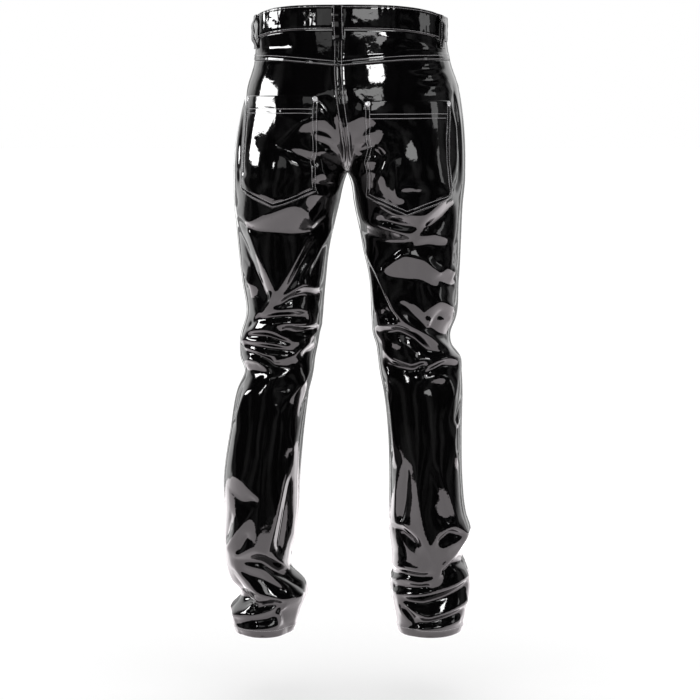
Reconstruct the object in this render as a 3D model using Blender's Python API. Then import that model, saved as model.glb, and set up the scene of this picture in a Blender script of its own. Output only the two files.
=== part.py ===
"""Five-pocket trousers of glossy coated cloth, worn and hollow, with no wearer.

The front faces -Y, the wearer's left is +X and +Z is up. The origin is the middle of the waist, level with the seam
under the waistband. Each cloth piece is a thin closed wall. Its outer points come from one surface for each half of
the trousers: u runs from the front edge (0) by the outseam (0.5) to the back edge (1), and down is the distance
below the waist seam. Down to the fork an edge is the centre seam, and below it is the inseam.
"""

from collections import namedtuple
from math import pi, radians

import bmesh
import bpy
import numpy as np
from mathutils import Matrix, Vector
from mathutils.bvhtree import BVHTree

# Cloth and seams, in metres.
CLOTH = 0.0015
DOUBLE_CLOTH = 0.0026
SEAM_GAP = 0.0003
BAND_PROUD = 0.0010

# Main sizes of the cut.
BAND_HEIGHT = 0.040
FORK = 0.233
FORK_CURVE = 0.118
HEM = 1.003
YOKE_AT_SIDE = 0.036
YOKE_AT_BACK = 0.0616
SCOOP_FROM = 0.265
SCOOP_DEPTH = 0.082
SEAM_TURN = radians(5.5)
DROP_FADE = 0.20
DROP_BACK = 0.009
DROP_SIDE = 0.025
DROP_FRONT = 0.044
HALF_WAIST = 0.42
BAND_LAP = 0.030

# How the hips become two legs: the sides start to part at BLEND_FROM and have parted BLEND_BELOW under the fork.
BLEND_FROM = 0.130
BLEND_BELOW = 0.027
EDGE_SHARE = 10
LEVEL_ROW = 0.190
FOLD_SAG = 0.25

# Half-widths from the middle plane at each level: the outer and inner edges of each leg.
Width = namedtuple("Width", "down left_outer left_inner right_outer right_inner")
WIDTHS = [
    Width(-0.045, 0.150, 0.000, 0.162, 0.000),
    Width(0.000, 0.151, 0.000, 0.162, 0.000),
    Width(0.047, 0.154, 0.000, 0.169, 0.000),
    Width(0.086, 0.164, 0.000, 0.180, 0.000),
    Width(0.125, 0.171, 0.000, 0.186, 0.000),
    Width(0.203, 0.183, 0.000, 0.191, 0.000),
    Width(0.233, 0.185, 0.000, 0.191, 0.000),
    Width(0.246, 0.185, 0.005, 0.191, 0.005),
    Width(0.288, 0.185, 0.015, 0.188, 0.012),
    Width(0.348, 0.181, 0.029, 0.186, 0.024),
    Width(0.414, 0.173, 0.037, 0.183, 0.039),
    Width(0.474, 0.167, 0.044, 0.179, 0.042),
    Width(0.504, 0.176, 0.049, 0.169, 0.044),
    Width(0.520, 0.178, 0.051, 0.171, 0.049),
    Width(0.540, 0.178, 0.055, 0.185, 0.052),
    Width(0.565, 0.172, 0.058, 0.188, 0.055),
    Width(0.594, 0.183, 0.063, 0.190, 0.060),
    Width(0.661, 0.194, 0.073, 0.189, 0.067),
    Width(0.742, 0.205, 0.080, 0.190, 0.071),
    Width(0.800, 0.205, 0.083, 0.196, 0.071),
    Width(0.831, 0.206, 0.088, 0.204, 0.071),
    Width(0.868, 0.206, 0.097, 0.190, 0.076),
    Width(0.893, 0.204, 0.098, 0.198, 0.078),
    Width(0.917, 0.197, 0.075, 0.205, 0.074),
    Width(0.943, 0.179, 0.069, 0.205, 0.075),
    Width(0.966, 0.196, 0.076, 0.201, 0.078),
    Width(0.985, 0.194, 0.083, 0.199, 0.081),
    Width(1.010, 0.187, 0.092, 0.192, 0.085),
]

# Depths in front of and behind the middle of the waist, seen from the side.
Depth = namedtuple("Depth", "down front back")
DEPTHS = [
    Depth(-0.045, 0.100, 0.108),
    Depth(0.000, 0.102, 0.112),
    Depth(0.050, 0.108, 0.121),
    Depth(0.100, 0.113, 0.132),
    Depth(0.150, 0.115, 0.139),
    Depth(0.200, 0.112, 0.138),
    Depth(0.240, 0.106, 0.127),
    Depth(0.290, 0.101, 0.107),
    Depth(0.350, 0.097, 0.092),
    Depth(0.420, 0.091, 0.080),
    Depth(0.470, 0.087, 0.068),
    Depth(0.510, 0.084, 0.060),
    Depth(0.550, 0.078, 0.060),
    Depth(0.600, 0.067, 0.069),
    Depth(0.660, 0.058, 0.079),
    Depth(0.740, 0.052, 0.083),
    Depth(0.820, 0.053, 0.076),
    Depth(0.880, 0.058, 0.066),
    Depth(0.920, 0.066, 0.062),
    Depth(0.960, 0.078, 0.062),
    Depth(1.010, 0.088, 0.066),
]

# The largest folds. Each runs from a to b; across is -1 at the inseam edge and +1 at the outseam edge as the face is
# seen straight on, and face is 1 behind and -1 in front. A negative height is a trough, and a sharp over 1 a crest.
Fold = namedtuple("Fold", "face a_across a_down b_across b_down height width sharp")
LEFT_FOLDS = [
    Fold(1, 0.95, 0.290, 0.25, 0.420, 0.005, 0.018, 1.4),
    Fold(1, 0.25, 0.420, 0.95, 0.485, 0.005, 0.016, 1.4),
    Fold(1, -0.90, 0.335, -0.25, 0.405, 0.006, 0.017, 1.3),
    Fold(1, 0.20, 0.443, -0.95, 0.425, 0.006, 0.013, 1.3),
    Fold(1, 0.95, 0.462, -0.95, 0.455, -0.005, 0.011, 1.2),
    Fold(1, 0.80, 0.478, -0.95, 0.470, 0.006, 0.012, 1.3),
    Fold(1, 0.95, 0.497, -0.90, 0.489, 0.007, 0.012, 1.3),
    Fold(1, 0.85, 0.513, -0.95, 0.508, -0.007, 0.011, 1.2),
    Fold(1, 0.35, 0.535, -0.80, 0.522, 0.006, 0.013, 1.3),
    Fold(1, 0.98, 0.525, 0.50, 0.568, 0.006, 0.014, 1.2),
    Fold(1, -0.60, 0.640, -0.70, 0.815, 0.003, 0.020, 1.4),
    Fold(1, 0.75, 0.862, -0.98, 0.915, 0.011, 0.017, 1.3),
    Fold(1, 0.98, 0.935, -0.50, 0.925, -0.009, 0.013, 1.1),
    Fold(1, 0.90, 0.962, -0.95, 0.972, 0.007, 0.014, 1.2),
    Fold(1, 0.90, 0.985, -0.95, 0.988, -0.005, 0.011, 1.2),
    Fold(-1, 0.10, 0.210, 0.90, 0.120, 0.004, 0.020, 1.3),
    Fold(-1, -0.20, 0.250, 0.95, 0.215, 0.004, 0.018, 1.3),
    Fold(-1, -0.90, 0.480, 0.40, 0.450, 0.004, 0.018, 1.3),
    Fold(-1, -0.60, 0.545, 0.95, 0.505, 0.005, 0.018, 1.3),
    Fold(-1, -0.90, 0.590, 0.50, 0.575, 0.004, 0.016, 1.3),
    Fold(-1, -0.95, 0.860, 0.80, 0.835, 0.006, 0.016, 1.3),
    Fold(-1, -0.95, 0.895, 0.98, 0.880, -0.008, 0.013, 1.2),
    Fold(-1, -0.95, 0.915, 0.98, 0.912, 0.010, 0.015, 1.3),
    Fold(-1, -0.95, 0.945, 0.98, 0.940, -0.009, 0.013, 1.2),
    Fold(-1, -0.95, 0.968, 0.98, 0.972, 0.008, 0.015, 1.3),
]
RIGHT_FOLDS = [
    Fold(1, -0.30, 0.318, 0.60, 0.290, 0.004, 0.014, 1.3),
    Fold(1, -0.98, 0.365, -0.30, 0.450, 0.007, 0.017, 1.4),
    Fold(1, -0.30, 0.450, 0.80, 0.520, 0.007, 0.017, 1.4),
    Fold(1, 0.25, 0.448, 0.95, 0.480, 0.005, 0.018, 0.9),
    Fold(1, -0.98, 0.503, 0.85, 0.495, -0.006, 0.012, 1.2),
    Fold(1, -0.85, 0.522, 0.35, 0.512, 0.008, 0.017, 1.0),
    Fold(1, -0.85, 0.545, 0.55, 0.540, -0.008, 0.011, 1.2),
    Fold(1, 0.10, 0.556, 0.98, 0.535, 0.007, 0.013, 1.3),
    Fold(1, -0.90, 0.577, 0.30, 0.568, 0.005, 0.013, 1.3),
    Fold(1, -0.45, 0.665, -0.40, 0.800, 0.003, 0.018, 1.4),
    Fold(1, 0.45, 0.680, 0.55, 0.810, 0.003, 0.018, 1.4),
    Fold(1, -0.10, 0.818, 0.95, 0.845, 0.009, 0.016, 1.2),
    Fold(1, -0.95, 0.872, 0.95, 0.870, -0.007, 0.012, 1.2),
    Fold(1, -0.95, 0.893, 0.98, 0.908, 0.008, 0.014, 1.3),
    Fold(1, -0.95, 0.925, 0.98, 0.930, -0.007, 0.012, 1.2),
    Fold(1, -0.90, 0.952, 0.98, 0.940, 0.007, 0.013, 1.3),
    Fold(1, -0.90, 0.972, 0.95, 0.968, -0.005, 0.011, 1.2),
    Fold(-1, 0.10, 0.205, 0.90, 0.125, 0.004, 0.020, 1.3),
    Fold(-1, -0.20, 0.255, 0.95, 0.220, 0.004, 0.018, 1.3),
    Fold(-1, -0.90, 0.470, 0.60, 0.455, 0.004, 0.018, 1.3),
    Fold(-1, -0.90, 0.520, 0.90, 0.535, 0.005, 0.018, 1.3),
    Fold(-1, -0.30, 0.590, 0.95, 0.570, 0.004, 0.016, 1.3),
    Fold(-1, -0.80, 0.840, 0.98, 0.850, 0.006, 0.016, 1.3),
    Fold(-1, -0.95, 0.870, 0.98, 0.882, -0.008, 0.013, 1.2),
    Fold(-1, -0.95, 0.900, 0.98, 0.905, 0.010, 0.015, 1.3),
    Fold(-1, -0.95, 0.935, 0.98, 0.930, -0.009, 0.013, 1.2),
    Fold(-1, -0.95, 0.962, 0.98, 0.960, 0.008, 0.015, 1.3),
]


# ---------------------------------------------------------------------------------------------- the garment's form
def curve(table, column, down):
    """A smooth value of one table column at each level: cubic pieces whose slopes come from the neighbour rows."""
    at = np.array([row.down for row in table])
    value = np.array([getattr(row, column) for row in table])
    slope = np.gradient(value, at)
    down = np.clip(down, at[0], at[-1])
    i = np.clip(np.searchsorted(at, down) - 1, 0, len(at) - 2)
    step = at[i + 1] - at[i]
    t = (down - at[i]) / step
    return (
        value[i] * (1 + 2 * t) * (1 - t) ** 2
        + slope[i] * step * t * (1 - t) ** 2
        + value[i + 1] * (3 - 2 * t) * t**2
        + slope[i + 1] * step * (t - 1) * t**2
    )


def smooth(t):
    """Rises from 0 to 1 as t does, level at both ends."""
    t = np.clip(t, 0, 1)
    return t * t * (3 - 2 * t)


def waist_drop(y_part):
    """How far the waist seam lies below its highest point, from -1 at the front to 1 at the back."""
    front = DROP_SIDE + (DROP_FRONT - DROP_SIDE) * smooth(-y_part)
    back = DROP_SIDE + (DROP_BACK - DROP_SIDE) * smooth(y_part)
    return np.where(y_part < 0, front, back)


def fold_height(side, u, down, girth):
    """The sum of the folds: a crest or trough along each fold's line that tapers off towards its two ends."""
    total = np.zeros(np.broadcast(u, down).shape)
    for fold in LEFT_FOLDS if side > 0 else RIGHT_FOLDS:
        ends = []
        for across in (fold.a_across, fold.b_across):
            turn = np.arccos(-across) / (2 * pi)
            ends.append(1 - turn if fold.face > 0 else turn)
        offset = u - ends[0]
        wrapped = (offset + 0.5) % 1 - 0.5
        offset = np.where(down > FORK + 0.02, wrapped, offset)
        px, py = offset * girth, down - fold.a_down
        qx, qy = (ends[1] - ends[0]) * 0.98 * girth, fold.b_down - fold.a_down
        length = np.sqrt(qx * qx + qy * qy)
        t = np.clip((px * qx + py * qy) / length**2, 0, 1)
        distance = np.hypot(px - t * qx, py - t * qy)
        profile = np.clip(1 - distance / fold.width, 0, 1)
        profile = profile**fold.sharp * (1 + (fold.sharp - 1) * (1 - profile))
        taper = (1 - np.abs(2 * t - 1) ** 3) * 0.85 + 0.15
        total += fold.height * smooth(profile) ** 0.8 * taper
    return total


def surface(side, u, down):
    """Points of the outer side of one half: the hip oval above, a leg oval below, and a blend down to the fork.

    side is 1 for the wearer's left and -1 for the right. At the edges the blend is a quarter ellipse, which rounds
    the centre seam under into the fork. The folds move the points outward, level with the floor.
    """
    u, down = np.broadcast_arrays(np.asarray(u, float), np.asarray(down, float))
    left, right = curve(WIDTHS, "left_outer", down), curve(WIDTHS, "right_outer", down)
    outer = left if side > 0 else right
    inner = np.maximum(curve(WIDTHS, "left_inner" if side > 0 else "right_inner", down), SEAM_GAP / 2)
    front, back = curve(DEPTHS, "front", down), curve(DEPTHS, "back", down)

    turn = SEAM_TURN * (1 - smooth((down - 0.05) / (FORK - 0.05)))
    angle = side * pi * u - turn
    hip_width = np.where(np.sin(angle) > 0, left, right)
    hip_x = hip_width * np.sin(angle)
    hip_y = -np.where(np.cos(angle) > 0, front, back) * np.cos(angle)

    half = (outer - inner) / 2
    middle = (outer + inner) / 2
    low = (back - front) / 2
    depth = (back + front) / 2
    leg_x = side * (middle - half * np.cos(2 * pi * u))
    leg_y = low - depth * np.sin(2 * pi * u)

    t = np.clip((down - FORK + FORK_CURVE) / FORK_CURVE, 0, 1)
    at_edge = 1 - np.sqrt(1 - t * t)
    at_middle = smooth((down - BLEND_FROM) / (FORK + BLEND_BELOW - BLEND_FROM))
    edge = np.abs(2 * u - 1) ** EDGE_SHARE
    weight = at_edge * edge + at_middle * (1 - edge)

    x = hip_x * (1 - weight) + leg_x * weight
    y = hip_y * (1 - weight) + leg_y * weight
    out_x = np.sin(angle) / hip_width * (1 - weight) - side * np.cos(2 * pi * u) / half * weight
    out_y = -np.cos(angle) / back * (1 - weight) - np.sin(2 * pi * u) / depth * weight
    out = np.hypot(out_x, out_y) + 1e-9
    girth = 2 * pi * np.sqrt((half**2 + depth**2) / 2)
    lift = fold_height(side, u, down, girth)
    x = x + lift * out_x / out
    y = y + lift * out_y / out
    z = -down - waist_drop(-np.cos(pi * u)) * np.clip(1 - np.maximum(down, 0) / DROP_FADE, 0, 1) ** 2
    return np.stack([x, y, z - FOLD_SAG * np.maximum(lift, 0)], axis=-1)


def outward(side, u, down):
    """Unit normals of the surface, from small steps in both directions.

    Above the fork they don't lean away from the centre seam, so a wall's inner side stays in its own half.
    """
    step_u, step_down = 0.002, 0.001
    across = surface(side, np.minimum(u + step_u, 1), down) - surface(side, np.maximum(u - step_u, 0), down)
    along = surface(side, u, down + step_down) - surface(side, u, down - step_down)
    normal = np.cross(along, across) * side
    normal = normal / (np.linalg.norm(normal, axis=-1, keepdims=True) + 1e-12)
    at_seam = (np.abs(np.asarray(u) - 0.5) > 0.49) & (np.asarray(down) < FORK)
    held = side * np.minimum(side * normal[..., 0], 0)
    normal[..., 0] = np.where(at_seam, held, normal[..., 0])
    return normal


SHORTEST_HALF_RING = 0.38
SEAM_INSET = SEAM_GAP / 2 / SHORTEST_HALF_RING


# ------------------------------------------------------------------------------------------------- making the walls
def make_material(name, colour, roughness, metallic):
    material = bpy.data.materials.new(name)
    material.use_nodes = True
    shader = material.node_tree.nodes["Principled BSDF"]
    shader.inputs["Base Color"].default_value = (*colour, 1.0)
    shader.inputs["Roughness"].default_value = roughness
    shader.inputs["Metallic"].default_value = metallic
    return material


def add_object(name, bm, material):
    bmesh.ops.recalc_face_normals(bm, faces=bm.faces)
    mesh = bpy.data.meshes.new(name)
    bm.to_mesh(mesh)
    bm.free()
    mesh.materials.append(material)
    mesh.shade_smooth()
    mesh.set_sharp_from_angle(angle=radians(50))
    piece = bpy.data.objects.new(name, mesh)
    bpy.context.scene.collection.objects.link(piece)
    return piece


def add_wall(name, outer, inner, material):
    """A closed wall between two grids of points with the same rows and columns."""
    rows, columns = outer.shape[:2]
    bm = bmesh.new()
    layers = [[[bm.verts.new(p) for p in row] for row in grid] for grid in (outer.tolist(), inner.tolist())]
    for layer in layers:
        for i in range(rows - 1):
            for j in range(columns - 1):
                bm.faces.new((layer[i][j], layer[i][j + 1], layer[i + 1][j + 1], layer[i + 1][j]))
    out, back = layers
    rim = [(0, j) for j in range(columns)]
    rim += [(i, columns - 1) for i in range(1, rows)]
    rim += [(rows - 1, j) for j in range(columns - 2, -1, -1)]
    rim += [(i, 0) for i in range(rows - 2, 0, -1)]
    for (i, j), (k, m) in zip(rim, rim[1:] + rim[:1]):
        bm.faces.new((out[i][j], out[k][m], back[k][m], back[i][j]))
    return add_object(name, bm, material)


def panel_wall(name, side, u, down, thickness, material, lift=0.0):
    """A wall on the surface at each (u, down), its outer face moved out by lift."""
    points = surface(side, u, down)
    normals = outward(side, u, down)
    return add_wall(name, points + normals * lift, points + normals * (lift - thickness), material)


# ------------------------------------------------------------------------------------------------------- the panels
def panel_rows():
    """Levels of the panel rows, closest where the seam turns under the fork and where the cloth bunches."""
    fork = FORK - FORK_CURVE * (1 - np.sin(np.linspace(0, pi / 2, 8)))
    above = np.linspace(0, fork[0], 4)[:-1]
    thigh = np.linspace(FORK, 0.430, 8)[1:]
    knee = np.linspace(0.430, 0.590, 14)[1:]
    calf = np.linspace(0.590, 0.815, 7)[1:]
    ankle = np.linspace(0.815, HEM, 16)[1:]
    return np.concatenate([above, fork, thigh, knee, calf, ankle])


def hung_from(top, rows):
    """Levels of all points of a panel whose top edge lies at top: its rows are level from the hips down."""
    rows = rows[:, None]
    return np.where(rows < LEVEL_ROW, top + rows * (1 - top / LEVEL_ROW), rows)


def scoop(u):
    """The pocket mouth in the front panel: a quarter ellipse from the waist seam to the outseam."""
    x = np.clip((u - SCOOP_FROM) / (0.5 - SCOOP_FROM), 0, 1)
    return SCOOP_DEPTH * np.sqrt(1 - (1 - x) ** 2)


def yoke_seam(u):
    return YOKE_AT_SIDE + (YOKE_AT_BACK - YOKE_AT_SIDE) * (u - 0.5) / 0.5


MOUTH_COLUMN = 6
LEAST_MOUTH = 0.012


def front_columns():
    beside_mouth = SCOOP_FROM + (0.5 - SCOOP_FROM) * (1 - np.cos(np.linspace(0, pi / 2, 6)))
    return np.concatenate([np.linspace(0, SCOOP_FROM, MOUTH_COLUMN + 1)[:-1], beside_mouth])


def inset_columns(u, first, last):
    """Columns moved half a seam gap in from both edges."""
    return first + SEAM_INSET + (u - first) * (last - first - 2 * SEAM_INSET) / (last - first)


BACK_COLUMNS = 12


def make_front_panel(name, side, material):
    u = inset_columns(front_columns(), 0, 0.5)
    down = hung_from(scoop(u)[None, :], panel_rows())
    return panel_wall(name, side, np.broadcast_to(u, down.shape), down, CLOTH, material)


def make_back_panel(name, side, material):
    u = inset_columns(np.linspace(0.5, 1, BACK_COLUMNS), 0.5, 1)
    down = hung_from(yoke_seam(u)[None, :] + SEAM_GAP / 2, panel_rows())
    return panel_wall(name, side, np.broadcast_to(u, down.shape), down, CLOTH, material)


def make_yoke(name, side, material):
    u = inset_columns(np.linspace(0.5, 1, BACK_COLUMNS), 0.5, 1)
    part = np.linspace(0, 1, 4)[:, None]
    down = part * (yoke_seam(u)[None, :] - SEAM_GAP / 2)
    return panel_wall(name, side, np.broadcast_to(u, down.shape), down, CLOTH, material)


def make_pocket_facing(name, side, material):
    """The hip piece behind the front pocket's mouth: on the front panel's own columns, down to its second row."""
    u = inset_columns(front_columns(), 0, 0.5)[MOUTH_COLUMN - 1 :]
    u[-1] -= SEAM_INSET
    rows = panel_rows()
    mouth = np.maximum(scoop(u), LEAST_MOUTH)
    down = np.stack([0 * mouth, mouth / 2, mouth, hung_from(scoop(u)[None, :], rows)[1]])
    behind = -(CLOTH + SEAM_GAP)
    return panel_wall(name, side, np.broadcast_to(u, down.shape), down, CLOTH, material, behind)


def make_fly(name, material):
    """The fly shield behind the centre front seam, on the front panels' own points and wider on the left."""
    u = inset_columns(front_columns(), 0, 0.5)
    down = np.broadcast_to(panel_rows()[:4, None], (4, 5))
    grids = []
    for lift in (-(CLOTH + SEAM_GAP), -(2 * CLOTH + SEAM_GAP)):
        halves = []
        for side, columns in ((-1, u[1::-1]), (1, u[:3])):
            around = np.broadcast_to(columns, (4, len(columns)))
            normals = outward(side, around, down[:, : len(columns)])
            halves.append(surface(side, around, down[:, : len(columns)]) + normals * lift)
        grids.append(np.concatenate(halves, axis=1))
    return add_wall(name, *grids, material)


# ------------------------------------------------------------------------------------------- the back patch pockets
Pocket = namedtuple("Pocket", "inner_top outer_top mouth inner_low outer_low corner point point_down")
LEFT_POCKET = Pocket(0.045, 0.160, 0.112, 0.052, 0.170, 0.262, 0.116, 0.286)
POCKET_ROWS_END = 0.34
RIGHT_POCKET = Pocket(0.026, 0.164, 0.120, 0.032, 0.163, 0.272, 0.096, 0.298)


def make_back_pocket(name, side, pocket, material):
    """A patch cut from the back panel's own facets by five planes, then moved out and given its thickness."""
    u = inset_columns(np.linspace(0.5, 1, BACK_COLUMNS), 0.5, 1)
    rows = panel_rows()
    down = hung_from(yoke_seam(u)[None, :] + SEAM_GAP / 2, rows)[: int(np.sum(rows < POCKET_ROWS_END))]
    u = np.broadcast_to(u, down.shape)
    points, normals = surface(side, u, down), outward(side, u, down)
    bm = bmesh.new()
    lift = bm.verts.layers.float_vector.new("outward")
    grid = []
    for point_row, normal_row in zip(points.tolist(), normals.tolist()):
        grid.append([])
        for point, normal in zip(point_row, normal_row):
            vertex = bm.verts.new(point)
            vertex[lift] = normal
            grid[-1].append(vertex)
    for i in range(len(grid) - 1):
        for j in range(len(grid[0]) - 1):
            quad = (grid[i][j], grid[i][j + 1], grid[i + 1][j + 1], grid[i + 1][j])
            bm.faces.new(quad)
    bmesh.ops.triangulate(bm, faces=bm.faces)
    corners = [
        (pocket.inner_top, -pocket.mouth),
        (pocket.outer_top, -pocket.mouth),
        (pocket.outer_low, -pocket.corner),
        (pocket.point, -pocket.point_down),
        (pocket.inner_low, -pocket.corner),
    ]
    centre_x = sum(x for x, _ in corners) / len(corners)
    centre_z = sum(z for _, z in corners) / len(corners)
    for (x1, z1), (x2, z2) in zip(corners, corners[1:] + corners[:1]):
        normal = Vector((-(z2 - z1), 0, x2 - x1))
        if normal.dot(Vector((centre_x - x1, 0, centre_z - z1))) > 0:
            normal.negate()
        bmesh.ops.bisect_plane(
            bm,
            geom=bm.verts[:] + bm.edges[:] + bm.faces[:],
            plane_co=(side * x1, 0, z1),
            plane_no=(side * normal.x, 0, normal.z),
            clear_outer=True,
            dist=1e-6,
        )
    bmesh.ops.remove_doubles(bm, verts=bm.verts, dist=0.0002)
    bmesh.ops.dissolve_degenerate(bm, edges=bm.edges, dist=0.0002)
    return close_patch(name, bm, lift, SEAM_GAP, CLOTH, material)


def close_patch(name, bm, lift, gap, thickness, material):
    """Turns an open patch into a wall: its copy is moved out further, and the two are joined round the rim."""
    low = {vertex: vertex.co.copy() + Vector(vertex[lift]).normalized() * gap for vertex in bm.verts}
    high = {v: v.co.copy() + Vector(v[lift]).normalized() * (gap + thickness) for v in bm.verts}
    wall = bmesh.new()
    below = {vertex: wall.verts.new(co) for vertex, co in low.items()}
    above = {vertex: wall.verts.new(co) for vertex, co in high.items()}
    for face in bm.faces:
        wall.faces.new([above[v] for v in face.verts])
        wall.faces.new([below[v] for v in reversed(face.verts)])
    for edge in bm.edges:
        if len(edge.link_faces) == 1:
            a, b = edge.verts
            wall.faces.new((above[a], above[b], below[b], below[a]))
    bm.free()
    return add_object(name, wall, material)


# -------------------------------------------------------------------------------------- waistband, loops and button
LAP_U = np.array([1.0, 0.5]) * BAND_LAP / HALF_WAIST
Loop = namedtuple("Loop", "down stands proud")
LOOP_WIDTH = 0.016
LOOP_CLOTH = 0.0022
LOOP_ROWS = [
    Loop(-0.0385, 0.0000, 1.0),
    Loop(-0.0325, 0.0009, 1.0),
    Loop(-0.0265, 0.0035, 1.0),
    Loop(-0.0120, 0.0035, 1.0),
    Loop(0.0000, 0.0030, 1.0),
    Loop(0.0060, 0.0005, 1.0),
    Loop(0.0180, 0.0000, 0.4),
]


def make_waistband(name, material):
    """A double strip round the waist whose right end runs on behind the left end at the centre front."""
    rows = np.linspace(-BAND_HEIGHT, -SEAM_GAP, 4)[:, None]
    right_u = np.linspace(0, 1, 27)[None, :]
    behind = DOUBLE_CLOTH + SEAM_GAP
    tucked = behind * (1 - smooth(right_u / (2 * LAP_U[0])))
    runs = [(1, LAP_U[None, :], behind), (-1, right_u, tucked), (1, right_u[:, -2::-1], 0.0)]
    grids = []
    for layer in (BAND_PROUD, BAND_PROUD - DOUBLE_CLOTH):
        parts = []
        for side, u, inward in runs:
            off = np.broadcast_to(layer - inward, u.shape)[..., None]
            parts.append(surface(side, u, rows) + outward(side, u, rows) * off)
        grids.append(np.concatenate(parts, axis=1))
    return add_wall(name, *grids, material)


def make_belt_loop(name, side, u, material):
    """A narrow doubled strip, sewn at its two ends and standing off the waistband between them."""
    reach = LOOP_WIDTH / HALF_WAIST / 2
    columns = np.array([u - reach, u, u + reach]) if side else np.array([-reach, 0.0, reach])
    level = np.array([row.down for row in LOOP_ROWS])
    down = np.broadcast_to(level[:, None], (len(level), len(columns)))
    off = np.array([row.stands + row.proud * BAND_PROUD + SEAM_GAP for row in LOOP_ROWS])[:, None, None]
    grids = []
    for thickness in (LOOP_CLOTH, 0.0):
        if side:
            around = np.broadcast_to(columns, down.shape)
            grid = surface(side, around, down) + outward(side, around, down) * (off + thickness)
        else:
            around = np.broadcast_to(1 - np.abs(columns), down.shape)
            left = surface(1, around, down) + outward(1, around, down) * (off + thickness)
            right = surface(-1, around, down) + outward(-1, around, down) * (off + thickness)
            middle = (left + right) / 2
            grid = np.stack([right[:, 0], middle[:, 1], left[:, 2]], axis=1)
        grids.append(grid)
    return add_wall(name, *grids, material)


def add_turned(name, profile, centre, normal, segments, material):
    """A turned piece: a profile of (radius, height) points spun round its axis, set on centre along normal."""
    bm = bmesh.new()
    rings = []
    for radius, height in profile:
        if radius == 0:
            rings.append([bm.verts.new((0, 0, height))])
            continue
        angles = [2 * pi * k / segments for k in range(segments)]
        rings.append([bm.verts.new((radius * np.cos(a), radius * np.sin(a), height)) for a in angles])
    for low, high in zip(rings, rings[1:]):
        for k in range(segments):
            m = (k + 1) % segments
            if len(low) == 1:
                bm.faces.new((low[0], high[k], high[m]))
            elif len(high) == 1:
                bm.faces.new((low[k], low[m], high[0]))
            else:
                bm.faces.new((low[k], low[m], high[m], high[k]))
    turn = Vector((0, 0, 1)).rotation_difference(Vector(normal)).to_matrix().to_4x4()
    bmesh.ops.transform(bm, matrix=Matrix.Translation(Vector(centre)) @ turn, verts=bm.verts)
    return add_object(name, bm, material)


# Turned profiles as (radius, height) pairs.
RIVET = [(0, 0), (0.0040, 0), (0.0044, 0.0007), (0.0036, 0.0015), (0.0014, 0.0018), (0, 0.0019)]
BUTTON = [(0, 0), (0.0045, 0), (0.0045, 0.0018), (0.0082, 0.0022), (0.0086, 0.0034), (0.0074, 0.0042), (0, 0.0040)]


def find_u(side, x, down):
    """The u of the back surface whose point has the given distance from the middle plane."""
    u = np.linspace(0.52, 1, 400)
    return float(u[np.argmin(np.abs(side * surface(side, u, down)[:, 0] - x))])


RIVET_IN = 0.006
RIVET_DOWN = 0.002


def make_rivets(side, pocket, patch, material):
    """Two rivets at the mouth's corners, each seated on the facet of the pocket that lies under it."""
    facets = BVHTree.FromPolygons([v.co for v in patch.data.vertices], [f.vertices for f in patch.data.polygons])
    for place, x in (("inner", pocket.inner_top + RIVET_IN), ("outer", pocket.outer_top - RIVET_IN)):
        down = pocket.mouth + RIVET_DOWN
        u = find_u(side, x, down)
        toward = Vector(outward(side, u, down))
        seat, facing = facets.ray_cast(Vector(surface(side, u, down)) + toward * 0.03, -toward)[:2]
        name = f"rivet_{place}_{'left' if side > 0 else 'right'}"
        add_turned(name, RIVET, seat + facing * 1.2 * SEAM_GAP, facing, 12, material)


# ------------------------------------------------------------------------------------------------- the whole garment
for old in list(bpy.data.objects):
    bpy.data.objects.remove(old)

SIDE_LOOP_U = 0.60
FRONT_LOOP_U = 0.22
GLOSS_BLACK = (0.006, 0.006, 0.007)
shell = make_material("gloss_cloth", GLOSS_BLACK, 0.06, 0.0)
trim = make_material("gloss_trim", (0.008, 0.008, 0.009), 0.10, 0.0)
metal = make_material("rivet_metal", (0.55, 0.55, 0.56), 0.25, 1.0)

for side, hand, pocket in ((1, "left", LEFT_POCKET), (-1, "right", RIGHT_POCKET)):
    make_front_panel(f"front_panel_{hand}", side, shell)
    make_pocket_facing(f"pocket_facing_{hand}", side, shell)
    make_back_panel(f"back_panel_{hand}", side, shell)
    make_yoke(f"back_yoke_{hand}", side, shell)
    patch = make_back_pocket(f"back_pocket_{hand}", side, pocket, trim)
    make_rivets(side, pocket, patch, metal)
    make_belt_loop(f"belt_loop_side_{hand}", side, SIDE_LOOP_U, trim)
    make_belt_loop(f"belt_loop_front_{hand}", side, FRONT_LOOP_U, trim)
make_fly("fly_shield", shell)
make_waistband("waistband", shell)
make_belt_loop("belt_loop_back", 0, 1.0, trim)
BUTTON_U = 0.030
button_normal = outward(1, BUTTON_U, -BAND_HEIGHT / 2)
button_centre = surface(1, BUTTON_U, -BAND_HEIGHT / 2) + button_normal * (BAND_PROUD + SEAM_GAP)
add_turned("waist_button", BUTTON, button_centre, button_normal, 16, metal)
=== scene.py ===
"""High-gloss black five-pocket trousers, worn and hollow with no wearer, seen from behind.

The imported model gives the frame. The front faces -Y, the wearer's left is +X, the origin is the middle of
the waist at the seam under the waistband, and every size is in metres. Each half of the trousers is one
surface: u runs from the front edge (0) by the outseam (0.5) to the back edge (1), and down is the distance
below the waist seam.
"""

from collections import namedtuple
from math import pi, radians

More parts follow.
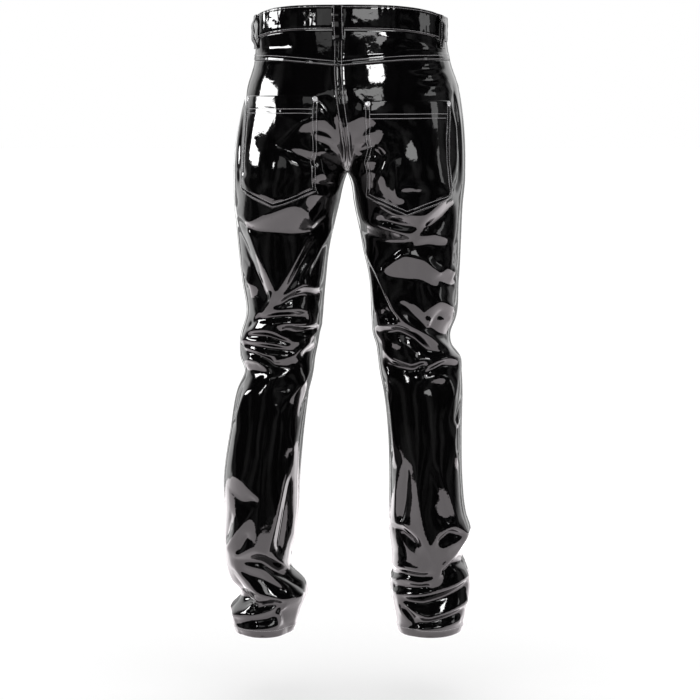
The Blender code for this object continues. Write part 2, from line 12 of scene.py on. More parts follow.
import bpy
import numpy as np
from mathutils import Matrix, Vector


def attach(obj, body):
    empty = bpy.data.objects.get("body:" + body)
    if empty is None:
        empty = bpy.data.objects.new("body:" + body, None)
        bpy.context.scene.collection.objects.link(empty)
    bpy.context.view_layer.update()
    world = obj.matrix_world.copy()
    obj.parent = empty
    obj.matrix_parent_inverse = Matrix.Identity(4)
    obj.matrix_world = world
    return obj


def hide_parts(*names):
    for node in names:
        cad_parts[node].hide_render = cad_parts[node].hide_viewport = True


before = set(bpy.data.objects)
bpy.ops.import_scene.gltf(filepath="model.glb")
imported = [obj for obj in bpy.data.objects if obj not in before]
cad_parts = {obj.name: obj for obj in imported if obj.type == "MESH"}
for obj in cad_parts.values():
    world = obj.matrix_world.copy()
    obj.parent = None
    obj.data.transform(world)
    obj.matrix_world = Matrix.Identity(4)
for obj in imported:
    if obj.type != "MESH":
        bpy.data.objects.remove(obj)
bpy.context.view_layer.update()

# --------------------------------------------------------------------------------------------- the cloth
# The garment's form: a glossy coated cloth, cut as slim jeans and pulled on. Hip ovals blend into leg
# ovals at the fork, from tables of widths and depths, and the folds of the worn cloth are crests and
# troughs laid along lines.
CLOTH = 0.0015
SEAM_GAP = 0.0003
FORK = 0.233
FORK_CURVE = 0.118
HEM = 1.003
SEAM_TURN = radians(5.5)
DROP_FADE = 0.20
DROP_BACK, DROP_SIDE, DROP_FRONT = 0.009, 0.025, 0.044
BLEND_FROM, BLEND_BELOW, EDGE_POWER = 0.130, 0.027, 10
FOLD_SAG = 0.25

Width = namedtuple("Width", "down left_outer left_inner right_outer right_inner")
WIDTHS = [
    Width(-0.045, 0.150, 0.000, 0.162, 0.000),
    Width(0.000, 0.151, 0.000, 0.162, 0.000),
    Width(0.047, 0.154, 0.000, 0.169, 0.000),
    Width(0.086, 0.164, 0.000, 0.180, 0.000),
    Width(0.125, 0.171, 0.000, 0.186, 0.000),
    Width(0.203, 0.183, 0.000, 0.191, 0.000),
    Width(0.233, 0.185, 0.000, 0.191, 0.000),
    Width(0.246, 0.185, 0.005, 0.191, 0.005),
    Width(0.288, 0.185, 0.015, 0.188, 0.012),
    Width(0.348, 0.181, 0.029, 0.186, 0.024),
    Width(0.414, 0.173, 0.037, 0.183, 0.039),
    Width(0.474, 0.167, 0.044, 0.179, 0.042),
    Width(0.504, 0.176, 0.049, 0.169, 0.044),
    Width(0.520, 0.178, 0.051, 0.171, 0.049),
    Width(0.540, 0.178, 0.055, 0.185, 0.052),
    Width(0.565, 0.172, 0.058, 0.188, 0.055),
    Width(0.594, 0.183, 0.063, 0.190, 0.060),
    Width(0.661, 0.194, 0.073, 0.189, 0.067),
    Width(0.742, 0.205, 0.080, 0.190, 0.071),
    Width(0.800, 0.205, 0.083, 0.196, 0.071),
    Width(0.831, 0.206, 0.088, 0.204, 0.071),
    Width(0.868, 0.206, 0.097, 0.190, 0.076),
    Width(0.893, 0.204, 0.098, 0.198, 0.078),
    Width(0.917, 0.197, 0.075, 0.205, 0.074),
    Width(0.943, 0.179, 0.069, 0.205, 0.075),
    Width(0.966, 0.196, 0.076, 0.201, 0.078),
    Width(0.985, 0.194, 0.083, 0.199, 0.081),
    Width(1.010, 0.187, 0.092, 0.192, 0.085),
]

Depth = namedtuple("Depth", "down front back")
DEPTHS = [
    Depth(-0.045, 0.100, 0.108),
    Depth(0.000, 0.102, 0.112),
    Depth(0.050, 0.108, 0.121),
    Depth(0.100, 0.113, 0.132),
    Depth(0.150, 0.115, 0.139),
    Depth(0.200, 0.112, 0.138),
    Depth(0.240, 0.106, 0.127),
    Depth(0.290, 0.101, 0.107),
    Depth(0.350, 0.097, 0.092),
    Depth(0.420, 0.091, 0.080),
    Depth(0.470, 0.087, 0.068),
    Depth(0.510, 0.084, 0.060),
    Depth(0.550, 0.078, 0.060),
    Depth(0.600, 0.067, 0.069),
    Depth(0.660, 0.058, 0.079),
    Depth(0.740, 0.052, 0.083),
    Depth(0.820, 0.053, 0.076),
    Depth(0.880, 0.058, 0.066),
    Depth(0.920, 0.066, 0.062),
    Depth(0.960, 0.078, 0.062),
    Depth(1.010, 0.088, 0.066),
]

# Creases are lines of places where the cloth stands out of the form (or in, where out is less than 0), in
# millimetres: x from the middle plane towards the outseam, and down, as that face is seen straight on.
At = namedtuple("At", "x down out")
LEFT_BEHIND = [
    # A dent in the yoke at the hip.
    [At(84, 34, -1), At(104, 36, -4), At(134, 34, -4), At(152, 30, -1)],
    [At(90, 64, 0), At(120, 62, 0), At(150, 60, 0)],
    # Seat: the cloth pulls from the fork towards the hip, and stands over the thigh under the pocket.
    [At(16, 98, 0), At(28, 104, 1), At(42, 111, 2), At(64, 120, 1)],
    [At(44, 118, -2), At(30, 138, -5), At(20, 158, -6), At(16, 174, -2)],
    [At(48, 124, 2), At(34, 144, 1), At(24, 164, -1), At(18, 182, -1)],
    [At(46, 166, -5), At(32, 170, -6), At(20, 180, -3)],
    [At(45, 173, 0), At(30, 178, -1), At(18, 188, -1)],
    [At(42, 184, -5), At(28, 188, -5), At(18, 195, -3)],
    [At(60, 198, 3), At(36, 200, 2), At(18, 205, -1)],
    [At(52, 146, 6), At(66, 150, 11), At(84, 165, 9), At(107, 188, 1)],
    [At(104, 194, -2), At(80, 204, -9), At(54, 214, -9)],
    [At(106, 206, 1), At(82, 218, 0), At(58, 228, -1)],
    [At(44, 206, 1), At(44, 228, 4), At(33, 246, 5), At(16, 253, 2)],
    [At(36, 210, -4), At(26, 214, -5), At(18, 218, -4)],
    [At(54, 250, 0), At(36, 252, -1), At(22, 254, -1)],
    [At(56, 266, 8), At(40, 270, 9), At(22, 264, 5)],
    [At(176, 226, 1), At(156, 252, 5), At(128, 266, 9), At(100, 270, 13)],
    [At(174, 302, 5), At(150, 312, 11), At(120, 296, 16), At(88, 280, 17), At(70, 300, 12), At(56, 318, 4)],
    [At(178, 312, 1), At(150, 326, 1), At(92, 331, -4), At(57, 329, -4), At(36, 310, -1)],
    [At(162, 254, 3), At(146, 278, 8), At(130, 298, 14)],
    [At(160, 96, 0), At(164, 140, 3), At(168, 190, 2), At(164, 240, 0)],
    [At(166, 100, 0), At(170, 150, -3), At(172, 200, -3), At(173, 250, 0)],
    [At(171, 130, 1), At(176, 180, 3), At(177, 240, 3), At(178, 290, 1)],
    # Thigh: a dark flat triangle between two ridges that meet above the knee, and the lit strips beside them.
    [At(178, 290, 4), At(152, 332, 7), At(130, 388, 9), At(114, 424, 11)],
    [At(184, 316, -1), At(166, 356, -4), At(144, 408, -4), At(126, 440, 0)],
    [At(174, 388, 1), At(164, 420, 0)],
    [At(56, 326, 0), At(84, 374, 6), At(113, 424, 11)],
    [At(46, 330, -3), At(74, 382, -4), At(100, 430, 1)],
    [At(27, 326, 3), At(56, 374, 5), At(82, 406, 3)],
    [At(40, 356, -2), At(58, 400, -3)],
    [At(114, 424, 11), At(132, 450, 9), At(154, 480, 5)],
    [At(126, 440, 0), At(146, 470, -2), At(160, 488, 0)],
    # Pulls that run round the outseam to the front.
    [At(156, 384, 0), At(163, 382, -3), At(169, 378, -3)],
    [At(148, 420, 0), At(158, 414, 4), At(166, 408, 4)],
    # Back of the knee: a crescent, four stacked lenses, the bulge at the outseam and the eye under it.
    [At(111, 442, 5), At(94, 424, 7), At(76, 413, 8), At(47, 421, 4)],
    [At(110, 448, 1), At(94, 437, -4), At(72, 431, -5), At(48, 436, -3)],
    [At(54, 442, 0), At(48, 462, 3), At(42, 484, 2)],
    [At(138, 464, 4), At(112, 455, 7), At(84, 453, 6), At(62, 463, 4)],
    [At(140, 472, 0), At(104, 467, -3), At(74, 468, -2)],
    [At(150, 483, 5), At(120, 476, 8), At(92, 477, 8), At(70, 483, 6), At(46, 486, 4)],
    [At(104, 488, -1), At(80, 493, -4), At(54, 492, -2)],
    [At(164, 494, 5), At(140, 489, 9), At(124, 490, 10), At(104, 500, 8), At(85, 511, 5)],
    [At(86, 503, 3), At(62, 500, 5), At(46, 498, 2)],
    [At(158, 502, -1), At(130, 501, -4), At(100, 511, -2)],
    [At(171, 509, 7), At(142, 508, 6), At(112, 511, 7), At(84, 520, 3)],
    [At(165, 516, 0), At(126, 521, -4), At(88, 526, 0)],
    [At(169, 523, 5), At(132, 531, 5), At(98, 527, 4)],
    [At(175, 523, -1), At(150, 529, -4), At(132, 538, -6), At(118, 547, -4), At(96, 552, -1)],
    [At(120, 543, 2), At(104, 536, 6), At(82, 523, 7), At(62, 515, 3)],
    [At(72, 532, -2), At(56, 524, -1)],
    [At(171, 548, 1), At(157, 540, 6), At(138, 546, 4), At(130, 556, 1)],
    [At(176, 563, -2), At(154, 562, -3), At(136, 560, -3)],
    [At(146, 546, 0), At(160, 549, -2), At(168, 554, 0)],
    [At(128, 570, 4), At(106, 566, 3), At(84, 556, 1)],
    [At(116, 586, -1), At(96, 584, -1)],
    # Calf and ankle: long flat facets, then the cloth turns over itself in a Z above the hem.
    [At(57, 550, 1), At(74, 574, 8), At(99, 606, 2)],
    [At(60, 590, -1), At(72, 616, -3), At(82, 650, 0)],
    [At(146, 580, 3), At(166, 596, 6), At(180, 630, 3), At(184, 656, 1)],
    [At(168, 574, 0), At(182, 606, -3), At(188, 640, -2)],
    [At(120, 604, 0), At(112, 622, 3), At(100, 634, 0)],
    [At(86, 660, 1), At(92, 684, 4), At(90, 720, 1)],
    [At(186, 620, -1), At(184, 680, 2), At(190, 730, 1)],
    [At(140, 690, 2), At(142, 740, 4), At(144, 790, 9), At(150, 842, 15)],
    [At(196, 724, 0), At(174, 732, 5), At(148, 764, 5)],
    [At(197, 752, -1), At(172, 772, -3), At(152, 768, -1)],
    [At(150, 776, 6), At(172, 814, 8), At(199, 856, 4)],
    [At(192, 800, -2), At(200, 836, -2)],
    [At(164, 826, 1), At(176, 856, 2)],
    [At(92, 690, 1), At(108, 750, 5), At(122, 806, 10), At(136, 852, 15)],
    [At(96, 740, -1), At(104, 790, -3), At(114, 850, -3)],
    [At(90, 800, 1), At(92, 850, 3), At(86, 886, 1)],
    [At(184, 866, 5), At(152, 844, 15), At(126, 864, 12), At(101, 892, 7), At(78, 914, 5)],
    [At(182, 872, 1), At(142, 874, -5), At(106, 902, -6), At(80, 924, -2)],
    [At(168, 880, 2), At(138, 887, 2), At(106, 912, 0), At(82, 925, 1)],
    [At(172, 892, -2), At(140, 904, -5), At(108, 924, -4)],
    [At(184, 886, 3), At(162, 912, 4), At(148, 926, 8), At(112, 936, 8), At(78, 934, 7)],
    [At(198, 890, 0), At(178, 918, -5), At(170, 944, -9), At(150, 946, -6)],
    [At(168, 957, 1), At(148, 940, 5), At(122, 930, 6)],
    [At(162, 964, -3), At(138, 950, -5), At(112, 948, -5)],
    [At(190, 972, 6), At(166, 965, 4), At(140, 960, 4), At(122, 954, 2)],
    [At(184, 980, 0), At(160, 974, -2), At(134, 972, -4), At(120, 968, -4)],
    [At(117, 944, -4), At(107, 968, -6), At(95, 992, -4)],
    [At(82, 946, 3), At(88, 972, 2), At(90, 996, 1)],
    [At(106, 952, 4), At(114, 962, 5), At(108, 974, 2)],
    [At(190, 994, 3), At(150, 986, 3), At(116, 984, 4)],
    [At(176, 1000, 0), At(140, 997, -2), At(108, 996, -1)],
]
RIGHT_BEHIND = [
    # Crumpled yoke beside the outseam, and the pull from the waistband.
    [At(98, 66, 0), At(130, 62, 2), At(158, 57, 0)],
    [At(94, 73, 0), At(128, 70, -2), At(156, 66, 0)],
    [At(96, 80, 0), At(132, 79, 2), At(164, 74, 0)],
    [At(106, 86, 0), At(130, 89, -2), At(158, 84, 0)],
    [At(112, 98, 0), At(140, 96, 2), At(168, 90, 0)],
    [At(104, 108, 0), At(136, 110, -2), At(172, 104, 0)],
    [At(40, 18, 0), At(90, 22, 3), At(140, 34, 1)],
    [At(60, 34, 0), At(104, 38, -2), At(148, 40, 0)],
    [At(90, 46, 0), At(124, 46, 2), At(152, 42, 0)],
    # Seat, and the edge under the pocket where the cloth stands over the thigh.
    [At(14, 118, 0), At(11, 130, -2), At(11, 146, -2)],
    [At(28, 121, 1), At(20, 136, 2), At(12, 148, 0)],
    [At(28, 121, 1), At(39, 142, 3), At(47, 164, 3)],
    [At(14, 180, -5), At(28, 164, -5), At(42, 154, -1)],
    [At(16, 187, -1), At(30, 175, 1), At(45, 168, 3)],
    [At(16, 197, -5), At(30, 193, -6), At(44, 190, -5)],
    [At(14, 214, 2), At(32, 216, 5), At(46, 212, 1)],
    [At(48, 190, 0), At(58, 194, 3), At(68, 202, 3), At(58, 228, 5), At(44, 250, 2)],
    [At(88, 262, 4), At(112, 264, 3), At(140, 250, 3)],
    [At(48, 198, -4), At(56, 212, -4), At(48, 234, -5), At(40, 262, -2)],
    [At(16, 200, 0), At(20, 226, 2), At(24, 260, 3), At(26, 290, 1)],
    [At(74, 206, 1), At(79, 240, 5), At(84, 272, 12)],
    [At(66, 216, 1), At(68, 246, 2), At(74, 272, 7)],
    [At(168, 244, 3), At(150, 275, 10), At(130, 292, 13), At(114, 311, 12), At(101, 331, 7)],
    [At(40, 266, 3), At(60, 288, 9), At(82, 298, 15), At(122, 297, 14)],
    [At(62, 311, -1), At(88, 317, 1), At(106, 318, 4)],
    [At(24, 312, 2), At(44, 317, 6), At(66, 320, 8), At(84, 326, 8), At(101, 331, 7)],
    [At(166, 286, 0), At(150, 306, -3), At(128, 322, -3)],
    [At(24, 334, -3), At(54, 344, -6), At(92, 346, -5)],
    [At(166, 120, 0), At(174, 160, 3), At(176, 210, 3), At(172, 260, 0)],
    [At(168, 84, 0), At(176, 130, -3), At(179, 190, -3), At(177, 250, 0)],
    [At(174, 110, 1), At(181, 160, 3), At(184, 230, 3), At(181, 296, 1)],
    [At(156, 140, 0), At(160, 180, -2), At(162, 220, -1)],
    # Thigh: facets round a star, and the long ridge that falls across to the outer knee.
    [At(98, 342, -2), At(80, 362, 0), At(58, 387, 2)],
    [At(98, 352, 4), At(108, 340, 5), At(134, 330, 7), At(156, 338, 5)],
    [At(110, 352, 1), At(128, 348, -2), At(152, 350, 0)],
    [At(60, 388, 6), At(92, 362, 9), At(122, 370, 9), At(147, 396, 6)],
    [At(72, 402, 1), At(98, 406, -2), At(118, 406, -2), At(146, 420, -3)],
    [At(104, 430, 3), At(120, 452, 8), At(130, 480, 11)],
    [At(31, 366, 4), At(52, 390, 11), At(66, 424, 12), At(80, 456, 13), At(98, 475, 13)],
    [At(98, 475, 13), At(132, 500, 10), At(163, 522, 6)],
    [At(38, 388, -1), At(54, 424, -3), At(66, 458, -4), At(78, 474, 0)],
    [At(34, 372, 1), At(43, 420, 4), At(49, 461, 6), At(66, 452, 3)],
    [At(88, 446, 4), At(108, 466, 3), At(140, 492, 2), At(160, 508, 1)],
    [At(122, 470, 6), At(134, 450, 8), At(148, 440, 8), At(172, 456, 5)],
    [At(134, 480, 1), At(150, 462, -2), At(166, 474, -1)],
    [At(174, 350, 0), At(166, 372, 4), At(170, 410, 1)],
    [At(177, 304, 1), At(171, 340, 3), At(174, 380, 0)],
    # Pulls that run round the outseam to the front.
    [At(140, 376, 0), At(162, 388, 4), At(176, 396, 4)],
    [At(146, 404, -1), At(160, 414, -4), At(174, 420, -3)],
    # Back of the knee: one large lens with a rim, and the notch and bulge at the outseam.
    [At(45, 490, 3), At(62, 481, 7), At(86, 480, 9), At(112, 493, 8), At(150, 525, 6)],
    [At(50, 497, -1), At(84, 491, -4), At(110, 504, -6), At(132, 528, -4), At(154, 530, -1)],
    [At(70, 510, 2), At(96, 514, 5), At(116, 530, 3)],
    [At(58, 524, 3), At(76, 538, 6), At(106, 546, 8), At(134, 532, 7), At(158, 527, 4)],
    [At(70, 550, -2), At(106, 557, -5), At(126, 548, -4)],
    [At(118, 556, 4), At(136, 545, 8), At(156, 533, 9), At(181, 538, 6)],
    [At(130, 560, -1), At(156, 548, -4), At(178, 554, -1)],
    [At(122, 572, 3), At(144, 564, 5), At(176, 568, 2)],
    [At(112, 590, 0), At(136, 584, -2), At(160, 582, -2)],
    [At(58, 548, 3), At(72, 568, 6), At(66, 592, 4), At(74, 624, 6), At(78, 680, 5), At(80, 720, 1)],
    [At(66, 584, -1), At(68, 632, -2), At(72, 690, -1)],
    [At(184, 562, 2), At(172, 596, 6), At(166, 624, 2)],
    [At(188, 600, 0), At(180, 640, -3), At(178, 690, 0)],
    [At(182, 640, 2), At(173, 672, 5), At(178, 706, 3)],
    # Calf and ankle: long upright facets that meet in a diamond, then folds stacked down to the hem.
    [At(84, 700, 1), At(82, 760, 5), At(80, 800, 4)],
    [At(98, 720, -1), At(95, 770, -2), At(90, 806, -2)],
    [At(112, 700, 2), At(118, 760, 7), At(126, 820, 12), At(134, 846, 14)],
    [At(134, 712, 1), At(152, 768, 1), At(160, 804, 0)],
    [At(150, 716, 3), At(166, 770, 6), At(176, 808, 9)],
    [At(168, 812, 9), At(196, 829, 7), At(176, 858, 10), At(154, 882, 12)],
    [At(135, 846, 14), At(152, 826, 7), At(168, 812, 9)],
    [At(134, 848, 14), At(142, 868, 14), At(152, 886, 13)],
    [At(150, 834, -1), At(165, 821, -3), At(184, 829, 0)],
    [At(153, 853, 8), At(169, 842, 8), At(184, 846, 6)],
    [At(72, 812, 3), At(94, 807, 7), At(116, 824, 8), At(134, 848, 14)],
    [At(76, 824, -1), At(92, 824, -4), At(112, 842, -3)],
    [At(90, 838, 0), At(99, 850, 3), At(104, 868, 4)],
    [At(114, 852, 3), At(122, 866, 8), At(126, 880, 11)],
    [At(76, 862, 1), At(90, 866, 1), At(102, 874, 5)],
    [At(74, 888, 5), At(98, 884, 9), At(128, 888, 12)],
    [At(76, 902, -1), At(96, 900, -3), At(126, 898, -1), At(140, 893, 5)],
    [At(76, 914, 3), At(92, 904, 4), At(120, 910, 6), At(140, 902, 8), At(152, 888, 13)],
    [At(78, 924, -2), At(106, 920, -3), At(134, 916, -2)],
    [At(78, 934, 4), At(112, 930, 8), At(149, 922, 9), At(176, 914, 8), At(199, 905, 5)],
    [At(156, 890, -3), At(172, 878, -4), At(192, 884, -2)],
    [At(160, 902, 2), At(176, 890, 4), At(196, 894, 3)],
    [At(96, 945, -4), At(124, 946, -7), At(164, 934, -7), At(196, 920, -3)],
    [At(80, 946, 1), At(92, 962, 5), At(104, 978, 2)],
    [At(96, 956, -2), At(108, 972, -4), At(112, 986, -2)],
    [At(92, 948, 2), At(110, 958, 6), At(134, 968, 8), At(166, 958, 8), At(198, 948, 6)],
    [At(118, 979, -4), At(150, 974, -6), At(186, 965, -3)],
    [At(118, 987, 4), At(152, 984, 6), At(186, 978, 4)],
    [At(90, 992, 3), At(104, 996, 1)],
    [At(112, 997, -1), At(150, 996, -2), At(184, 992, -1)],
]
LEFT_AHEAD = [
    # Front hip and thigh: pulls from the fork to the hip, and long ridges that meet above the knee.
    [At(14, 196, 0), At(40, 178, 5), At(88, 150, 7), At(134, 118, 1)],
    [At(20, 210, -1), At(52, 194, -5), At(104, 170, -4), At(140, 150, 0)],
    [At(16, 222, 1), At(52, 212, 6), At(104, 196, 7), At(160, 172, 2)],
    [At(22, 240, -1), At(66, 232, -5), At(124, 216, -4)],
    [At(20, 256, 1), At(62, 254, 5), At(112, 250, 3), At(150, 240, 0)],
    [At(150, 120, 0), At(162, 170, 3), At(164, 230, 1)],
    [At(40, 290, 0), At(74, 330, 6), At(96, 384, 8), At(104, 430, 4)],
    [At(70, 300, 0), At(98, 344, -4), At(118, 392, -4)],
    [At(160, 300, 0), At(146, 350, 5), At(128, 400, 6), At(104, 430, 4)],
    [At(172, 350, 1), At(160, 344, 4), At(140, 322, 1)],
    [At(169, 378, -3), At(156, 366, -3)],
    [At(166, 408, 4), At(150, 418, 5), At(130, 446, 3)],
    # Knee and shin: lenses that meet at the outseam, then two ridges that cross the shin.
    [At(52, 452, 2), At(74, 436, 6), At(104, 430, 7), At(138, 444, 5), At(160, 468, 2)],
    [At(64, 462, -2), At(96, 452, -6), At(130, 462, -4)],
    [At(48, 480, 3), At(80, 470, 7), At(116, 480, 8), At(160, 468, 2)],
    [At(70, 490, -3), At(104, 496, -6), At(140, 486, -3)],
    [At(54, 512, 2), At(92, 514, 7), At(130, 500, 8), At(166, 488, 4)],
    [At(74, 530, -3), At(116, 526, -6), At(156, 510, -3)],
    [At(58, 540, 3), At(96, 548, 6), At(140, 540, 7), At(168, 520, 4)],
    [At(80, 566, -2), At(126, 566, -4), At(160, 552, -1)],
    [At(70, 580, 0), At(100, 640, 5), At(128, 720, 6), At(142, 800, 2)],
    [At(92, 590, 0), At(124, 650, -3), At(146, 720, -3)],
    [At(176, 590, 0), At(166, 660, 4), At(150, 740, 5), At(142, 800, 2)],
    [At(90, 700, 0), At(100, 760, 4), At(112, 812, 2)],
    # The cloth piled on the foot.
    [At(98, 822, 1), At(120, 812, 5), At(152, 830, 8), At(196, 838, 3)],
    [At(104, 846, -2), At(136, 848, -6), At(172, 856, -3)],
    [At(94, 874, 4), At(112, 862, 8), At(148, 876, 9), At(196, 838, 3)],
    [At(100, 892, -4), At(140, 896, -7), At(174, 878, -4)],
    [At(92, 910, 3), At(126, 912, 9), At(160, 896, 8), At(198, 872, 4)],
    [At(84, 926, -2), At(118, 930, -6), At(150, 918, -6), At(188, 896, -3)],
    [At(78, 934, 4), At(104, 948, 9), At(140, 936, 9), At(182, 914, 5)],
    [At(86, 960, -3), At(122, 962, -6), At(156, 946, -5)],
    [At(84, 974, 3), At(112, 980, 6), At(150, 964, 8), At(188, 956, 5)],
    [At(98, 992, -1), At(140, 984, -4), At(180, 980, -2)],
]
RIGHT_AHEAD = [
    # Front hip and thigh.
    [At(14, 204, 0), At(48, 168, 6), At(76, 132, 5), At(92, 96, 0)],
    [At(24, 214, -1), At(64, 178, -5), At(104, 138, -2)],
    [At(16, 228, 1), At(70, 200, 7), At(126, 160, 6), At(158, 120, 0)],
    [At(24, 246, -1), At(70, 228, -5), At(124, 200, -4), At(164, 170, 0)],
    [At(20, 262, 1), At(74, 250, 6), At(140, 226, 5), At(178, 204, 1)],
    [At(30, 288, 0), At(80, 280, -4), At(130, 262, -2)],
    [At(158, 100, 0), At(168, 150, 2), At(172, 210, 1)],
    [At(44, 316, 1), At(62, 366, 6), At(96, 414, 8), At(134, 440, 5)],
    [At(70, 330, 0), At(96, 372, -4), At(128, 408, -2)],
    [At(164, 320, 0), At(156, 380, 5), At(134, 440, 5)],
    [At(176, 396, 4), At(164, 410, 5), At(134, 440, 5)],
    [At(174, 420, -3), At(158, 432, -3)],
    # Knee and shin.
    [At(58, 430, 2), At(92, 444, 5), At(134, 440, 8), At(164, 452, 4)],
    [At(62, 450, -2), At(96, 462, -5), At(140, 456, -4)],
    [At(54, 472, 3), At(88, 480, 7), At(120, 470, 8), At(160, 484, 4)],
    [At(70, 492, -3), At(108, 490, -6), At(146, 498, -4)],
    [At(56, 496, 2), At(80, 508, 6), At(132, 510, 8), At(160, 484, 4)],
    [At(70, 528, -2), At(110, 530, -6), At(150, 530, -4)],
    [At(60, 546, 2), At(90, 540, 4), At(130, 552, 7), At(180, 544, 4)],
    [At(78, 572, -1), At(118, 574, -4), At(160, 568, -1)],
    [At(178, 580, 1), At(150, 620, 5), At(118, 690, 6), At(96, 780, 3)],
    [At(140, 600, 0), At(112, 650, -3), At(90, 720, -3)],
    [At(172, 690, 0), At(160, 740, 4), At(166, 800, 2)],
    # The cloth piled on the foot.
    [At(76, 822, 2), At(108, 838, 7), At(140, 828, 7), At(190, 846, 3)],
    [At(84, 848, -3), At(124, 854, -5), At(172, 860, -3)],
    [At(78, 866, 4), At(100, 878, 7), At(146, 866, 9), At(190, 846, 3)],
    [At(82, 894, -3), At(130, 888, -6), At(172, 876, -4)],
    [At(76, 906, 4), At(120, 900, 8), At(154, 906, 9), At(196, 890, 4)],
    [At(84, 924, -3), At(112, 918, -6), At(160, 926, -6), At(190, 912, -3)],
    [At(78, 940, 4), At(130, 938, 9), At(170, 946, 7), At(198, 930, 4)],
    [At(90, 954, -2), At(136, 956, -6), At(180, 962, -3)],
    [At(84, 964, 4), At(110, 966, 6), At(150, 974, 8), At(190, 978, 4)],
    [At(96, 986, -3), At(140, 990, -4), At(178, 992, -1)],
]


def curve(table, column, down):
    """A smooth value of one table column at each level: cubic pieces with slopes from the neighbour rows."""
    at = np.array([row.down for row in table])
    value = np.array([getattr(row, column) for row in table])
    slope = np.gradient(value, at)
    down = np.clip(down, at[0], at[-1])
    i = np.clip(np.searchsorted(at, down) - 1, 0, len(at) - 2)
    step = at[i + 1] - at[i]
    t = (down - at[i]) / step
    return (
        value[i] * (1 + 2 * t) * (1 - t) ** 2
        + slope[i] * step * t * (1 - t) ** 2
        + value[i + 1] * (3 - 2 * t) * t**2
        + slope[i + 1] * step * (t - 1) * t**2
    )


def smooth(t):
    """Rises from 0 to 1 as t does, level at both ends."""
    t = np.clip(t, 0, 1)
    return t * t * (3 - 2 * t)


def waist_drop(y_part):
    """How far the waist seam lies below z = 0: y_part runs from -1 at the front to 1 at the back."""
    front = DROP_SIDE + (DROP_FRONT - DROP_SIDE) * smooth(-y_part)
    back = DROP_SIDE + (DROP_BACK - DROP_SIDE) * smooth(y_part)
    return np.where(y_part < 0, front, back)


def surface(side, u, down, lift=0.0):
    """Points of the outer side of one half: a hip oval above, a leg oval below, and a blend at the fork.

    lift moves the points out of the form, level with the floor.
    """
    u, down = np.broadcast_arrays(np.asarray(u, float), np.asarray(down, float))
    left, right = curve(WIDTHS, "left_outer", down), curve(WIDTHS, "right_outer", down)
    outer = left if side > 0 else right
    inner = np.maximum(curve(WIDTHS, "left_inner" if side > 0 else "right_inner", down), SEAM_GAP / 2)
    front, back = curve(DEPTHS, "front", down), curve(DEPTHS, "back", down)

    turn = SEAM_TURN * (1 - smooth((down - 0.05) / (FORK - 0.05)))
    angle = side * pi * u - turn
    hip_width = np.where(np.sin(angle) > 0, left, right)
    hip_x = hip_width * np.sin(angle)
    hip_y = -np.where(np.cos(angle) > 0, front, back) * np.cos(angle)

    half = (outer - inner) / 2
    middle = (outer + inner) / 2
    low = (back - front) / 2
    depth = (back + front) / 2
    leg_x = side * (middle - half * np.cos(2 * pi * u))
    leg_y = low - depth * np.sin(2 * pi * u)

    t = np.clip((down - FORK + FORK_CURVE) / FORK_CURVE, 0, 1)
    at_edge = 1 - np.sqrt(1 - t * t)
    at_middle = smooth((down - BLEND_FROM) / (FORK + BLEND_BELOW - BLEND_FROM))
    edge = np.abs(2 * u - 1) ** EDGE_POWER
    weight = at_edge * edge + at_middle * (1 - edge)

    x = hip_x * (1 - weight) + leg_x * weight
    y = hip_y * (1 - weight) + leg_y * weight
    out_x = np.sin(angle) / hip_width * (1 - weight) - side * np.cos(2 * pi * u) / half * weight
    out_y = -np.cos(angle) / back * (1 - weight) - np.sin(2 * pi * u) / depth * weight
    out = np.hypot(out_x, out_y) + 1e-9
    x = x + lift * out_x / out
    y = y + lift * out_y / out
    z = -down - waist_drop(-np.cos(pi * u)) * np.clip(1 - np.maximum(down, 0) / DROP_FADE, 0, 1) ** 2
    return np.stack([x, y, z - FOLD_SAG * np.maximum(lift, 0)], axis=-1)


def grid_normals(points, side):
    """Unit outward normals of a grid of points, from the differences between its rows and its columns."""
    along = np.gradient(points, axis=0)
    across = np.gradient(points, axis=1)
    normal = np.cross(along, across) * side
    return normal / (np.linalg.norm(normal, axis=-1, keepdims=True) + 1e-12)


def mesh_from(name, points, faces, material):
    """A smooth-shaded object whose vertices and quads are whole arrays."""
    mesh = bpy.data.meshes.new(name)
    mesh.vertices.add(len(points))
    mesh.vertices.foreach_set("co", np.asarray(points, np.float32).ravel())
    sides = faces.shape[1]
    mesh.loops.add(faces.size)
    mesh.loops.foreach_set("vertex_index", np.asarray(faces, np.int32).ravel())
    mesh.polygons.add(len(faces))
    mesh.polygons.foreach_set("loop_start", np.arange(len(faces), dtype=np.int32) * sides)
    mesh.update(calc_edges=True)
    mesh.shade_smooth()
    mesh.materials.append(material)
    piece = bpy.data.objects.new(name, mesh)
    bpy.context.scene.collection.objects.link(piece)
    return piece


def quads(index, flip=False):
    """The quads between neighbours in a grid of vertex numbers, turned over where flip is set."""
    corners = [index[..., :-1, :-1], index[..., 1:, :-1], index[..., 1:, 1:], index[..., :-1, 1:]]
    return np.stack(corners[::-1] if flip else corners, axis=-1).reshape(-1, 4)


def add_sheet(name, points, side, thickness, material):
    """A sheet on a grid of outer points, with its thickness inside."""
    index = np.arange(points.size // 3).reshape(points.shape[:2])
    piece = mesh_from(name, points.reshape(-1, 3), quads(index, side < 0), material)
    wall = piece.modifiers.new("thickness", "SOLIDIFY")
    wall.thickness = thickness
    wall.offset = -1
    return piece


